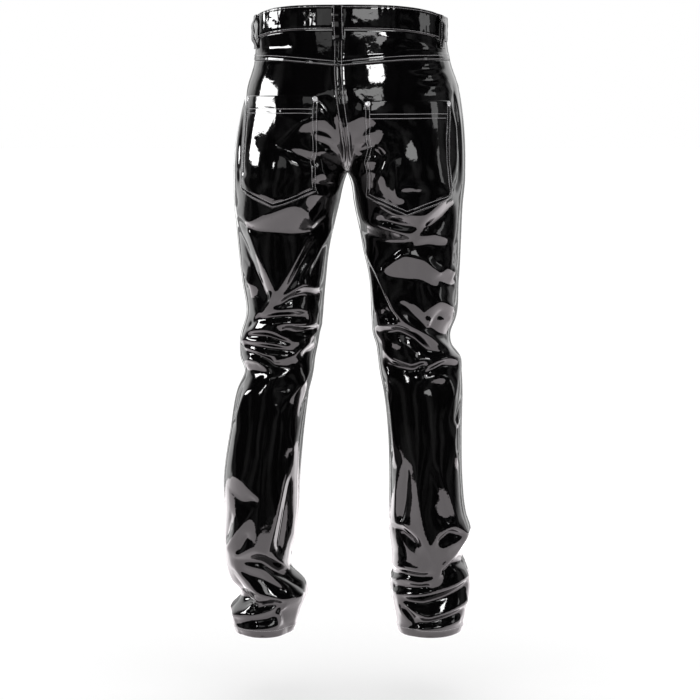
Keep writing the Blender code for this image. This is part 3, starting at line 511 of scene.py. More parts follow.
# ------------------------------------------------------------------------------------------- the creases
# Between its creases the cloth is stretched like a skin: each point's height is the mean of the heights
# round it, and on a crease it is what the table says. Each half has one field of heights.
FIELD_U = np.linspace(0, 1, 289)
FIELD_DOWN = np.linspace(0, HEM, 641)
SLACKEN = 0.9992
STRETCHING_STEPS = 1400
CREASE_ROUNDING = 3
PLACES_A_PART = 70
PLACING_STEPS = 14
NEAR_HALF_WIDTH = 0.19
MOST_U, MOST_DOWN = 0.03, 0.02


def find_place(side, face, x, z):
    """The u and down of the point seen straight on, on this face, x from the middle plane at height z.

    A first guess from the ovals is mended by Newton's steps, kept short and within the face.
    """
    turn = np.arcsin(np.clip(x / NEAR_HALF_WIDTH, 0, 0.98)) / pi
    down = -z
    outer = curve(WIDTHS, "left_outer" if side > 0 else "right_outer", down)
    inner = curve(WIDTHS, "left_inner" if side > 0 else "right_inner", down)
    across = np.clip((2 * x - outer - inner) / (outer - inner), -0.98, 0.98)
    turn = np.where(down > FORK, np.arccos(-across) / (2 * pi), turn)
    u = 1 - turn if face > 0 else turn
    low, high = (0.5, 0.999) if face > 0 else (0.001, 0.5)
    step = 0.0005
    for _ in range(PLACING_STEPS):
        here = surface(side, u, down)
        by_u = (surface(side, u + step, down) - here) / step
        by_down = (surface(side, u, down + step) - here) / step
        miss_x, miss_z = side * x - here[..., 0], z - here[..., 2]
        scale = by_u[..., 0] * by_down[..., 2] - by_down[..., 0] * by_u[..., 2]
        scale = np.where(np.abs(scale) < 0.02, 0.02 * np.sign(scale), scale)
        move = (miss_x * by_down[..., 2] - by_down[..., 0] * miss_z) / scale
        fall = (by_u[..., 0] * miss_z - miss_x * by_u[..., 2]) / scale
        u = np.clip(u + np.clip(move, -MOST_U, MOST_U), low, high)
        down = down + np.clip(fall, -MOST_DOWN, MOST_DOWN)
    return u, down


def stretch_between(side, faces):
    """The field of heights of one half. Each face is 1 behind or -1 in front, with its list of creases."""
    shape = (len(FIELD_DOWN), len(FIELD_U))
    held, weight, total = np.zeros(shape), np.full(shape, 1e-9), np.zeros(shape)
    for face, creases in faces:
        for crease in creases:
            corners = np.arange(len(crease))
            along = np.linspace(0, corners[-1], PLACES_A_PART * corners[-1])
            x, down, out = (np.interp(along, corners, column) / 1000 for column in zip(*crease))
            u, level = find_place(side, face, x, -down)
            row, column = level / HEM * (shape[0] - 1), u * (shape[1] - 1)
            i = np.clip(row.astype(int), 0, shape[0] - 2)
            j = np.clip(column.astype(int), 0, shape[1] - 2)
            for di, dj in ((0, 0), (0, 1), (1, 0), (1, 1)):
                part = np.clip(1 - np.abs(row - i - di), 0, 1) * np.clip(1 - np.abs(column - j - dj), 0, 1)
                np.maximum.at(held, (i + di, j + dj), part)
                np.add.at(weight, (i + di, j + dj), part)
                np.add.at(total, (i + di, j + dj), part * out)
    target = total / weight
    below_fork = FIELD_DOWN > FORK
    height = target * held
    for _ in range(STRETCHING_STEPS):
        padded = np.pad(height, ((0, 1), (1, 1)), mode="edge")
        padded[:-1, 0] = np.where(below_fork, height[:, -2], 0)
        padded[:-1, -1] = np.where(below_fork, height[:, 1], 0)
        above = np.vstack([np.zeros(shape[1]), height[:-1]])
        mean = (above + padded[1:, 1:-1] + padded[:-1, :-2] + padded[:-1, 2:]) / 4
        height = mean * SLACKEN * (1 - held) + target * held
        height[~below_fork, 0] = height[~below_fork, -1] = 0
    for _ in range(CREASE_ROUNDING):
        height[1:-1] = (height[:-2] + 2 * height[1:-1] + height[2:]) / 4
        height[:, 1:-1] = (height[:, :-2] + 2 * height[:, 1:-1] + height[:, 2:]) / 4
    return height


creased = {
    1: stretch_between(1, [(1, LEFT_BEHIND), (-1, LEFT_AHEAD)]),
    -1: stretch_between(-1, [(1, RIGHT_BEHIND), (-1, RIGHT_AHEAD)]),
}


def spline_weights(t):
    """The four weights of a Catmull-Rom curve at t between its middle two values."""
    return (
        (-t + 2 * t**2 - t**3) / 2,
        (2 - 5 * t**2 + 3 * t**3) / 2,
        (t + 4 * t**2 - 3 * t**3) / 2,
        (-(t**2) + t**3) / 2,
    )


def sample(grid, levels, u, down):
    """A smooth value of a grid at any u and down: Catmull-Rom curves across its columns and its rows."""
    rows, columns = grid.shape[:2]
    at, across = np.interp(down, levels, np.arange(rows)), u * (columns - 1)
    i, j = np.floor(at).astype(int), np.floor(across).astype(int)
    total = np.zeros(at.shape + grid.shape[2:])
    extra = (None,) * (grid.ndim - 2)
    for k, row_weight in enumerate(spline_weights(at - i)):
        row = np.clip(i + k - 1, 0, rows - 1)
        for m, column_weight in enumerate(spline_weights(across - j)):
            column = np.clip(j + m - 1, 0, columns - 1)
            total += grid[row, column] * (row_weight * column_weight)[(..., *extra)]
    return total


def worn(side, u, down):
    """The worn cloth: the form with its creases."""
    u, down = np.broadcast_arrays(np.asarray(u, float), np.asarray(down, float))
    return surface(side, u, down, sample(creased[side], FIELD_DOWN, u, down))


# ------------------------------------------------------------------------------------------ the material
# The cloth's face is a thick clear-faced black coating, as smooth as glass but for a faint orange peel
# and the slow waviness of the cloth under it. Every cloth piece is cut from it.
class Shade:
    """A socket of a material, so that shader maths reads as an expression."""

    def __init__(self, tree, socket=None):
        self.tree = tree
        self.socket = socket

    def node(self, kind, settings=(), inputs=(), output=0):
        """A new node of this kind: its settings first, then the values or links of its sockets."""
        new = self.tree.nodes.new(kind)
        for key, value in dict(settings).items():
            setattr(new, key, value)
        for key, value in dict(inputs).items():
            if isinstance(value, Shade):
                self.tree.links.new(value.socket, new.inputs[key])
            else:
                new.inputs[key].default_value = value
        return Shade(self.tree, new.outputs[output])

    def math(self, operation, a, b):
        return self.node("ShaderNodeMath", {"operation": operation}, {0: a, 1: b})

    def __add__(self, other):
        return self.math("ADD", self, other)

    def __mul__(self, other):
        return self.math("MULTIPLY", self, other)

    def __sub__(self, other):
        return self.math("SUBTRACT", self, other)

    def __rsub__(self, other):
        return self.math("SUBTRACT", other, self)

    __radd__ = __add__
    __rmul__ = __mul__


def new_material(name, colour, metallic=0.0):
    """A material with its tree's start and its Principled shader."""
    material = bpy.data.materials.new(name)
    material.use_nodes = True
    shader = material.node_tree.nodes["Principled BSDF"]
    shader.inputs["Base Color"].default_value = (*colour, 1)
    shader.inputs["Metallic"].default_value = metallic
    return material, Shade(material.node_tree), shader


def noise(tree, place, scale, **sockets):
    """Noise on these coordinates, with about scale waves in each unit of length."""
    return tree.node("ShaderNodeTexNoise", {}, {"Vector": place, "Scale": scale, **sockets})


def gloss_cloth(name, colour, roughness, peel):
    """Black coated cloth: peel sets the depth of the orange peel in metres."""
    material, tree, shader = new_material(name, colour)
    place = tree.node("ShaderNodeTexCoord", output="Object")
    wave = noise(tree, place, 26.0, Detail=2.0, Roughness=0.45)
    crush = noise(tree, place, 85.0, Detail=2.0, Distortion=0.6)
    fine = noise(tree, place, 420.0, Detail=2.0)
    dull = noise(tree, place, 9.0, Detail=5.0, Roughness=0.6)
    height = wave * 9.0 + crush * 2.2 + fine * 0.25
    bump = tree.node("ShaderNodeBump", {}, {"Height": height, "Strength": 1.0, "Distance": peel})
    material.node_tree.links.new(bump.socket, shader.inputs["Normal"])
    rough = dull * 0.05 + (roughness - 0.025)
    material.node_tree.links.new(rough.socket, shader.inputs["Roughness"])
    shader.inputs["IOR"].default_value = 1.55
    return material


BLACK = (0.0011, 0.0010, 0.0012)
cloth_face = gloss_cloth("gloss_cloth", BLACK, 0.05, 0.00006)


# -------------------------------------------------------------------------------------------- the panels
# Two front and two back panels of the coated cloth, sewn at the centre, the outseams and the inseams.
# Each hangs from its top edge, the scooped pocket mouth in front and the yoke seam behind. Two yokes join
# the back panels to the waistband.
HALVES = ((1, "left"), (-1, "right"))
SEAM_INSET = 0.0001
SCOOP_FROM = 0.265
SCOOP_DEPTH = 0.082
YOKE_AT_SIDE, YOKE_AT_BACK = 0.036, 0.0616
YOKE_PARTING = 0.00004
LEVEL_ROW = 0.190
HALF_RING = 0.45
ROW_STEP, COLUMN_STEP = 0.00275, 0.0060
FORK_ROWS, MOUTH_COLUMNS = 66, 42
MOUTH_TO, SIDE_FROM = 0.472, 0.4735
YOKE_STEP, YOKE_HEIGHT = 0.05, 0.05
EDGE_FALL, EDGE_SUNK, ROW_SUNK, ROW_SPREAD = 0.0024, 0.0007, 0.00045, 0.0009
GATHER_PULL = 0.00013
BODY = "root"
BESIDE_SEAM = np.array([0.0, 0.6, 1.2, 2.0, 3.0, 4.2, 5.0, 5.8, 6.6, 7.6, 9.0, 11.0]) / 1000


def scoop(u):
    """The pocket mouth in the front panel: a quarter ellipse from the waist seam to the outseam."""
    x = np.clip((u - SCOOP_FROM) / (0.5 - SCOOP_FROM), 0, 1)
    return SCOOP_DEPTH * np.sqrt(1 - (1 - x) ** 2)


def yoke_seam(u):
    """The yoke's lower edge, a straight line that falls from the outseam to the centre back."""
    return YOKE_AT_SIDE + (YOKE_AT_BACK - YOKE_AT_SIDE) * (u - 0.5) / 0.5


def between(first, last, step, scale=1.0):
    """Places from first to last, close together beside the seams at both ends, and step apart elsewhere."""
    edge = BESIDE_SEAM * scale
    middle = np.arange(first + edge[-1] + step, last - edge[-1] - step / 2, step)
    return np.concatenate([first + edge, middle, last - edge[::-1]])


def panel_rows():
    """Levels of the rows, closest beside the edges and where the centre seam turns under the fork."""
    fork = FORK - FORK_CURVE * (1 - np.sin(np.linspace(0, pi / 2, FORK_ROWS)))
    above = np.concatenate([BESIDE_SEAM, np.arange(0.014, fork[0] - 0.002, 0.003)])
    below = between(FORK, HEM, ROW_STEP)[len(BESIDE_SEAM) :]
    return np.concatenate([above, fork, np.linspace(FORK, below[0], 7)[1:-1], below])


def hung_from(top, rows):
    """Levels of all points of a panel whose top edge lies at top: its rows are level from the hips down."""
    rows = rows[:, None]
    return np.where(rows < LEVEL_ROW, top + rows * (1 - top / LEVEL_ROW), rows)


def reach(points, axis, last=False):
    """Metres along one axis of a grid of points, from its first line or its last."""
    steps = np.linalg.norm(np.diff(points, axis=axis), axis=-1)
    ends = [(0, 0), (0, 0)]
    ends[axis] = (0, 1) if last else (1, 0)
    steps = np.pad(steps, ends)
    return np.flip(np.cumsum(np.flip(steps, axis), axis), axis) if last else np.cumsum(steps, axis)


def gathers(along, key):
    """Uneven gathers of a stitched edge, from -1 to 1: waves of unrelated lengths along it."""
    drift = 1.4 * np.sin(2 * pi * along / 0.083 + key)
    return (
        0.5 * np.sin(2 * pi * along / 0.0094 + key + drift)
        + 0.3 * np.sin(2 * pi * along / 0.0157 + 2.3 * key)
        + 0.2 * np.sin(2 * pi * along / 0.0262 + 3.1 * key - drift)
    )


# A seam lies along the first or the last line of a panel's rows (axis 0) or columns (axis 1).
Seam = namedtuple("Seam", "axis last key rows width height")


def seam_relief(distance, along, seam):
    """The raised edge of a sewn seam: flat for its width, sunk at its edge and under each row, gathered."""
    relief = seam.height * (1 - smooth((distance - seam.width) / EDGE_FALL))
    relief = relief - EDGE_SUNK * np.exp(-((distance / ROW_SPREAD) ** 2))
    for row in seam.rows:
        relief = relief - ROW_SUNK * np.exp(-(((distance - row) / ROW_SPREAD) ** 2))
    fading = np.exp(-distance / 0.009) * (1 + 0.6 * np.sin(along / 0.041 + seam.key))
    return relief + GATHER_PULL * gathers(along, seam.key) * fading


Flat = namedtuple("Flat", "width length area")
cloth_grids = {}


def dress(piece, node):
    """Says which body a cloth piece rides on and the node it stands for."""
    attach(piece, BODY)
    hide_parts(node)


def add_panel(name, side, u, down, seams, node):
    """A panel raised by its seams: of their reliefs the one furthest from the cloth holds."""
    points = worn(side, np.broadcast_to(u, down.shape), down)
    normals = grid_normals(points, side)
    lift = np.zeros(down.shape)
    for seam in seams:
        raised = seam_relief(reach(points, seam.axis, seam.last), reach(points, 1 - seam.axis), seam)
        lift = np.where(np.abs(raised) > np.abs(lift), raised, lift)
    points = points + normals * lift[..., None]
    cloth_grids[name] = points, grid_normals(points, side)
    dress(add_sheet(name, points, side, CLOTH, cloth_face), node)


CENTRE_ROW = 0.0055
YOKE_ROWS = (0.0018, 0.0078)
MOUTH_ROWS = (0.0018, 0.0075)
HEM_ROW = 0.0125
for side, hand in HALVES:
    mouth_turn = np.linspace(0, pi / 2, MOUTH_COLUMNS)
    beside_mouth = SCOOP_FROM + (0.5 - SCOOP_FROM) * (1 - np.cos(mouth_turn))
    side_u = beside_mouth[beside_mouth < MOUTH_TO]
    centre_u = between(SEAM_INSET, 0.5 - SEAM_INSET, COLUMN_STEP, 1 / HALF_RING)
    u = np.concatenate([centre_u[centre_u < SCOOP_FROM - 0.001], side_u, centre_u[centre_u > SIDE_FROM]])
    down = hung_from(scoop(u)[None, :], panel_rows())
    hem = Seam(0, True, 4.6 + side, (HEM_ROW,), 0.014, 0.0009)
    seams = [
        Seam(1, False, 0.7 + side, (), 0.004, 0.0003),
        Seam(1, True, 2.1 + side, (), 0.003, 0.0003),
        Seam(0, False, 3.3 + side, MOUTH_ROWS, 0.0085, 0.0007),
        hem,
    ]
    add_panel(f"front_{hand}", side, u, down, seams, f"front_panel_{hand}")

    u = between(0.5 + SEAM_INSET, 1 - SEAM_INSET, COLUMN_STEP, 1 / HALF_RING)
    down = hung_from(yoke_seam(u)[None, :] + YOKE_PARTING, panel_rows())
    behind_seams = [
        Seam(1, False, 2.1 + side, (), 0.006, 0.0006),
        Seam(1, True, 5.2, (CENTRE_ROW,), 0.0072, 0.0008),
    ]
    seams = behind_seams + [
        Seam(0, False, 6.3 + side, (), 0.0, 0.0),
        hem,
    ]
    add_panel(f"back_{hand}", side, u, down, seams, f"back_panel_{hand}")

    part = between(0, 1, YOKE_STEP, 1 / YOKE_HEIGHT)
    down = part[:, None] * (yoke_seam(u)[None, :] - YOKE_PARTING)
    seams = behind_seams + [
        Seam(0, True, 6.3 + side, YOKE_ROWS, 0.0092, 0.0008),
        Seam(0, False, 1.4 + side, (), 0.0, 0.0),
    ]
    add_panel(f"yoke_{hand}", side, u, down, seams, f"back_yoke_{hand}")

# -------------------------------------------------------------------------------------------- the sewing
# Rows of single lockstitches of a shiny dark thread, each a short raised bar sunk at both ends into the
# cloth.
# Its grey colour is painted sheen, for the glints of the dark thread. Rows run at set distances from a
# panel's edge, on the points of the panel itself.
PITCH = 0.0034
STITCH_SHARE = 0.86
LOOK_AHEAD = 0.0004
THREAD_WIDTH, THREAD_HEIGHT, THREAD_SUNK = 0.0011, 0.0006, 0.00008
# A stitch's sections: its place in shares of the stitch's length, and its height in shares of the thread's.
STITCH = [(-0.5, -0.10), (-0.34, 0.85), (0.34, 0.85), (0.5, -0.10)]
# The thread is dark; its grey base colour is painted sheen, standing in for the glints on the shiny thread.
painted_sheen_thread_face, thread_tree, thread_shader = new_material("black_thread_painted_sheen", (0.28, 0.27, 0.28))
twist_place = thread_tree.node("ShaderNodeTexCoord", output="Object")
twist = noise(thread_tree, twist_place, 2600.0)
thread_bump = thread_tree.node("ShaderNodeBump", {}, {"Height": twist, "Strength": 0.6, "Distance": 0.0001})
painted_sheen_thread_face.node_tree.links.new(thread_bump.socket, thread_shader.inputs["Normal"])
thread_shader.inputs["Roughness"].default_value = 0.32


def run_along(line):
    """Metres along a line of points, from its first."""
    return reach(line[:, None], 0)[:, 0]


def beside(grid, axis, last, distance, start=0.0, end=0.0):
    """The line of a grid at this distance from one of its edges, less start and end, and its normals."""
    points, normals = grid
    if axis == 0:
        points, normals = points.swapaxes(0, 1), normals.swapaxes(0, 1)
    if last:
        points, normals = points[:, ::-1], normals[:, ::-1]
    far = reach(points, 1)
    j = np.clip(np.sum(far < distance, axis=1) - 1, 0, far.shape[1] - 2)
    i = np.arange(len(far))
    t = ((distance - far[i, j]) / (far[i, j + 1] - far[i, j]))[:, None]
    line = points[i, j] * (1 - t) + points[i, j + 1] * t
    along = run_along(line)
    kept = (along >= start) & (along <= along[-1] - end)
    return line[kept], normals[i, j][kept]


def sew(name, lines):
    """One object that holds the stitches of several lines, each a ridge with a three-cornered section."""
    points, faces, count = [], [], 0
    for line, normals in lines:
        along = run_along(line)
        middles = np.arange(PITCH / 2, along[-1] - PITCH / 2, PITCH)

        def at(values, places):
            return np.stack([np.interp(places, along, values[:, k]) for k in range(3)], axis=-1)

        up = at(normals, middles)
        up /= np.linalg.norm(up, axis=1, keepdims=True)
        ahead = at(line, middles + LOOK_AHEAD) - at(line, middles - LOOK_AHEAD)
        beam = np.cross(up, ahead)
        beam *= THREAD_WIDTH / 2 / (np.linalg.norm(beam, axis=1, keepdims=True) + 1e-12)
        sections = []
        for part, height in STITCH:
            here = at(line, middles + part * STITCH_SHARE * PITCH)
            top = here + up * height * THREAD_HEIGHT
            low = here - up * THREAD_SUNK
            sections.append(np.stack([low - beam, top, low + beam], axis=1))
        stitches = np.stack(sections, axis=1)
        points.append(stitches.reshape(-1, 3))
        faces.append(quads(np.arange(stitches.size // 3).reshape(stitches.shape[:3]) + count))
        count += stitches.size // 3
    thread = mesh_from(name, np.concatenate(points), np.concatenate(faces), painted_sheen_thread_face)
    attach(thread, BODY)


above_fork = int(np.sum(panel_rows() < FORK - 0.001))
for _, hand in HALVES:
    back, yoke, front = (cloth_grids[f"{part}_{hand}"] for part in ("back", "yoke", "front"))
    seat = tuple(part[:above_fork] for part in back)
    lines = [beside(seat, 1, True, CENTRE_ROW), beside(yoke, 1, True, CENTRE_ROW)]
    lines += [beside(yoke, 0, True, row) for row in YOKE_ROWS]
    lines += [beside(front, 0, False, row) for row in MOUTH_ROWS]
    lines += [beside(part, 0, True, HEM_ROW) for part in (back, front)]
    sew(f"seam_stitches_{hand}", lines)

# ------------------------------------------------------------------------- pocket facings and fly shield
# The hip piece that shows in each front pocket's scooped mouth, and the strip that closes the fly from
# behind. Both are single cloth, sewn in behind the front panels.
FACING_FROM = 0.2215
FACING_BELOW = 0.038
FACING_COLUMNS, FACING_ROWS = 60, 50
SHIELD_LEFT, SHIELD_RIGHT, SHIELD_LENGTH = 0.088, 0.044, 0.114
SHIELD_COLUMNS, SHIELD_ROWS = 40, 44
BEHIND = CLOTH + SEAM_GAP


def on_cloth(side, u, down, lift=0.0):
    """Points of the worn cloth moved out by lift, and the outward normals there."""
    step_u, step_down = 0.001, 0.0005
    across = worn(side, np.minimum(u + step_u, 1), down) - worn(side, np.maximum(u - step_u, 0), down)
    along = worn(side, u, down + step_down) - worn(side, u, down - step_down)
    normal = np.cross(along, across) * side
    normal = normal / (np.linalg.norm(normal, axis=-1, keepdims=True) + 1e-12)
    return worn(side, u, down) + normal * np.asarray(lift)[..., None], normal


def around(w, down, lift):
    """Points on the whole garment: w is u on the left half, -u on the right half, and wraps at the back."""
    w = np.broadcast_to((w + 1) % 2 - 1, down.shape)
    left = on_cloth(1, np.abs(w), down, lift)[0]
    right = on_cloth(-1, np.abs(w), down, lift)[0]
    return np.where((w >= 0)[..., None], left, right)


for side, hand in HALVES:
    u = np.linspace(FACING_FROM, 0.5 - 2 * SEAM_INSET, FACING_COLUMNS)
    part = np.linspace(0, 1, FACING_ROWS)[:, None]
    down = part * (scoop(u) + FACING_BELOW * (1 - scoop(u) / LEVEL_ROW))[None, :]
    points = on_cloth(side, np.broadcast_to(u, down.shape), down, 0 * down - BEHIND)[0]
    piece = add_sheet(f"facing_{hand}", points, side, CLOTH, cloth_face)
    dress(piece, f"pocket_facing_{hand}")

shield_w = np.linspace(-SHIELD_RIGHT, SHIELD_LEFT, SHIELD_COLUMNS)
shield_w, down = np.meshgrid(shield_w, np.linspace(0, SHIELD_LENGTH, SHIELD_ROWS))
shield = add_sheet("shield", around(shield_w, down, 0 * down - BEHIND), 1, CLOTH, cloth_face)
dress(shield, "fly_shield")

# -------------------------------------------------------------------------------- the back patch pockets
# A five-sided patch on each back panel, its edges turned under and sewn down with two rows all round.
# The mouth's wide hem is sewn with two rows across, and stands off the panel a little.
Pocket = namedtuple("Pocket", "inner_top outer_top mouth inner_low outer_low corner point point_down")
POCKETS = {
    "left": Pocket(0.045, 0.160, 0.112, 0.052, 0.170, 0.262, 0.116, 0.286),
    "right": Pocket(0.026, 0.164, 0.120, 0.032, 0.163, 0.272, 0.096, 0.298),
}
POCKET_ROWS = (0.0020, 0.0080)
POCKET_HEM_ROWS = (0.0215, 0.0285)
PATCH_CLOTH = 0.0012
PATCH_WIDTH, PATCH_LENGTH = 0.125, 0.165
PATCH_COLUMN_STEP, PATCH_ROW_STEP = 0.0175, 0.0140
PATCH_SUNK, PATCH_PULL, PATCH_PUFF, MOUTH_GAPE = 0.0005, 0.00024, 0.0008, 0.0016


def add_pocket(hand, side, pocket, key):
    """A patch pocket, its puffed face and turned edges as one sheet."""
    p = between(0, 1, PATCH_COLUMN_STEP, 1 / PATCH_WIDTH)[None, :]
    q = between(0, 1, PATCH_ROW_STEP, 1 / PATCH_LENGTH)[:, None]
    inner = pocket.inner_top + (pocket.inner_low - pocket.inner_top) * q
    outer = pocket.outer_top + (pocket.outer_low - pocket.outer_top) * q
    tip = (pocket.point - pocket.inner_low) / (pocket.outer_low - pocket.inner_low)
    toward_tip = np.where(p < tip, p / tip, (1 - p) / (1 - tip))
    low = pocket.corner + (pocket.point_down - pocket.corner) * toward_tip
    level = pocket.mouth + (low - pocket.mouth) * q
    u, down = find_place(side, 1, inner + (outer - inner) * p, -level)
    points, normals = on_cloth(side, u, down)
    from_top, from_low = reach(points, 0), reach(points, 0, True)
    from_side = np.minimum(reach(points, 1), reach(points, 1, True))
    edge = np.minimum(from_side, from_low)
    lift = SEAM_GAP + PATCH_CLOTH + PATCH_SUNK * smooth(np.minimum(edge, from_top) / 0.0014)
    for row in POCKET_ROWS:
        lift = lift - PATCH_SUNK * np.exp(-(((edge - row) / 0.0010) ** 2))
    inside = smooth((from_side - 0.008) / 0.002)
    for row in POCKET_HEM_ROWS:
        lift = lift - PATCH_SUNK * np.exp(-(((from_top - row) / 0.0008) ** 2)) * inside
    near_rows = np.exp(-from_low / 0.010) + np.exp(-np.abs(from_top - 0.025) / 0.008)
    pulled = gathers(from_top, key) * np.exp(-from_side / 0.010)
    pulled = pulled + gathers(reach(points, 1), key + 2) * near_rows
    lift = lift + PATCH_PULL * pulled + PATCH_PUFF * smooth((edge - 0.008) / 0.025)
    lift = lift + MOUTH_GAPE * smooth(from_side / 0.030) * np.exp(-((from_top / 0.016) ** 2))
    points = points + normals * lift[..., None]
    grid = points, grid_normals(points, -side)
    piece = add_sheet(f"patch_{hand}", points, -side, PATCH_CLOTH, cloth_face)
    dress(piece, f"back_pocket_{hand}")
    lines = []
    for row in POCKET_ROWS:
        lines += [beside(grid, 1, last, row, 0.002, row) for last in (False, True)]
        lines.append(beside(grid, 0, True, row, row, row))
    lines += [beside(grid, 0, False, row, 0.008, 0.008) for row in POCKET_HEM_ROWS]
    sew(f"pocket_stitches_{hand}", lines)
    return grid


pocket_grids = {hand: add_pocket(hand, side, POCKETS[hand], 1.7 + side) for side, hand in HALVES}

# ----------------------------------------------------------------------------------------- the waistband
# A double strip of the cloth folded along its top, sewn to the panels along its lower edge. A row of
# stitches runs near each edge, and the right end runs on behind the left at the front.
BAND_HEIGHT = 0.040
BAND_PROUD = 0.0010
DOUBLE_CLOTH = 0.0026
HALF_WAIST = 0.42
BAND_LAP = 0.030
BAND_ROWS = (0.0030, 0.0365)
BAND_ROW_EDGES = (3, 11)
BAND_RINGS, HIDDEN_RINGS, FACE_EDGES = 620, 24, 14
LAP_CLEARANCE = 0.0006
BAND_PULL, BAND_WAVE, BAND_CRUSH = 0.00024, 0.0004, 0.00035
Edge = namedtuple("Edge", "up lift")
BAND_SECTION = [
    Edge(0.0003, -0.0004),
    Edge(0.0010, 0.0004),
    Edge(0.0020, 0.0008),
    Edge(0.0030, 0.0005),
    Edge(0.0042, 0.0010),
    Edge(0.0080, 0.0012),
    Edge(0.0140, 0.0013),
    Edge(0.0200, 0.0014),
    Edge(0.0260, 0.0013),
    Edge(0.0320, 0.0012),
    Edge(0.0352, 0.0010),
    Edge(0.0365, 0.0005),
    Edge(0.0377, 0.0009),
    Edge(0.0390, 0.0006),
    Edge(0.0398, -0.0002),
    Edge(0.0398, -0.0010),
    Edge(0.0388, -0.0016),
    Edge(0.0300, -0.0016),
    Edge(0.0200, -0.0016),
    Edge(0.0100, -0.0016),
    Edge(0.0012, -0.0016),
    Edge(0.0004, -0.0012),
]


def add_tube(name, rings, material, flip=False):
    """A closed strip: rings of points in order along it, joined round and capped at both ends."""
    index = np.arange(rings.size // 3).reshape(rings.shape[:2])
    faces = quads(np.concatenate([index, index[:, :1]], axis=1), flip)
    caps = []
    for ring, turned in ((index[0], not flip), (index[-1], flip)):
        for k in range(len(ring) // 2 - 1):
            cap = [ring[k], ring[k + 1], ring[-2 - k], ring[-1 - k]]
            caps.append(cap[::-1] if turned else cap)
    return mesh_from(name, rings.reshape(-1, 3), np.concatenate([faces, np.array(caps)]), material)


lap_w = BAND_LAP / HALF_WAIST
band_w = np.linspace(SEAM_INSET, 2 + lap_w, BAND_RINGS)[:, None]
section_up = np.array([row.up for row in BAND_SECTION])[None, :]
section_lift = np.array([row.lift for row in BAND_SECTION])[None, :]
down = np.broadcast_to(-section_up, (len(band_w), len(BAND_SECTION)))
tucked = (DOUBLE_CLOTH + SEAM_GAP + LAP_CLEARANCE) * smooth((band_w - 2 + 2 * lap_w) / (2 * lap_w))
near_row = sum(np.exp(-np.abs(section_up - row) / 0.0055) for row in BAND_ROWS)
pulled = BAND_PULL * gathers(band_w * HALF_WAIST, 0.9) * near_row
pulled = pulled + BAND_WAVE * gathers(band_w * 0.11, 2.2)
crushed = gathers(band_w * 0.16 + 0.7 * section_up, 4.1) + gathers(0.12 * band_w - 0.9 * section_up, 1.3)
crushed = crushed * smooth((section_up - 0.003) / 0.010) * smooth((0.037 - section_up) / 0.010)
pulled = pulled + BAND_CRUSH * crushed
rings = around(band_w, down, section_lift + pulled - tucked)
dress(add_tube("band", rings, cloth_face), "waistband")
band_face = rings[:-HIDDEN_RINGS, :FACE_EDGES]
band_normals = grid_normals(band_face, 1)
sew("band_stitches", [(band_face[:, k], band_normals[:, k]) for k in BAND_ROW_EDGES])

# ---------------------------------------------------------------------------------------- the belt loops
# Five narrow doubled strips of the cloth with turned edges and a row of stitches along each side. Each is
# sewn down at its two ends and stands off the waistband between them.
LOOP_WIDTH = 0.016
LOOP_CLOTH = 0.0022
LOOP_RINGS, LOOP_FACE_EDGES, LOOP_ROW_EDGES = 44, 11, (3, 7)
SIDE_LOOP_W, FRONT_LOOP_W = 0.60, 0.22
Loop = namedtuple("Loop", "down stands proud")
LOOP_ROWS = [
    Loop(-0.0385, 0.0000, 1.0),
    Loop(-0.0325, 0.0009, 1.0),
    Loop(-0.0265, 0.0035, 1.0),
    Loop(-0.0120, 0.0035, 1.0),
    Loop(0.0000, 0.0030, 1.0),
    Loop(0.0060, 0.0005, 1.0),
    Loop(0.0180, 0.0000, 0.4),
]
LOOP_SECTION = [
    Edge(-0.50, 0.35),
    Edge(-0.485, 0.75),
    Edge(-0.44, 0.98),
    Edge(-0.34, 0.86),
    Edge(-0.20, 1.04),
    Edge(0.00, 1.08),
    Edge(0.20, 1.04),
    Edge(0.34, 0.86),
    Edge(0.44, 0.98),
    Edge(0.485, 0.75),
    Edge(0.50, 0.35),
    Edge(0.47, 0.02),
    Edge(0.20, 0.00),
    Edge(0.00, 0.00),
    Edge(-0.20, 0.00),
    Edge(-0.47, 0.02),
]


def add_loop(name, w, node, key):
    """A belt loop round the waist at w, which is 1 at the centre back."""
    level = np.linspace(LOOP_ROWS[0].down, LOOP_ROWS[-1].down, LOOP_RINGS)
    stands = curve(LOOP_ROWS, "stands", level) + curve(LOOP_ROWS, "proud", level) * (BAND_PROUD + 0.0006)
    stands = np.maximum(stands, 0.0012) + SEAM_GAP
    across = np.array([row.up for row in LOOP_SECTION])[None, :]
    height = np.array([row.lift for row in LOOP_SECTION])[None, :] * LOOP_CLOTH
    skew = 0.0009 * np.sin(level / 0.03 + key)[:, None]
    place = w + (across * LOOP_WIDTH + skew) / HALF_WAIST
    down = np.broadcast_to(level[:, None], place.shape)
    rings = around(place, down, stands[:, None] + height + 0.0001 * gathers(level, key)[:, None])
    dress(add_tube(name, rings, cloth_face, flip=True), node)
    face = rings[:, :LOOP_FACE_EDGES]
    normals = grid_normals(face, 1 if w < 0 else -1)
    from_middle = face - face.mean(axis=(0, 1)) * [0, 0, 1]
    outward = np.where(np.sum(normals * from_middle, axis=-1, keepdims=True) < 0, -1, 1)
    sew(f"{name}_stitches", [(face[:, k], (normals * outward)[:, k]) for k in LOOP_ROW_EDGES])


add_loop("loop_back", 1.0, "belt_loop_back", 0.3)
for side, hand in HALVES:
    add_loop(f"loop_side_{hand}", side * SIDE_LOOP_W, f"belt_loop_side_{hand}", 1.1 + side)
    add_loop(f"loop_front_{hand}", side * FRONT_LOOP_W, f"belt_loop_front_{hand}", 2.4 + side)
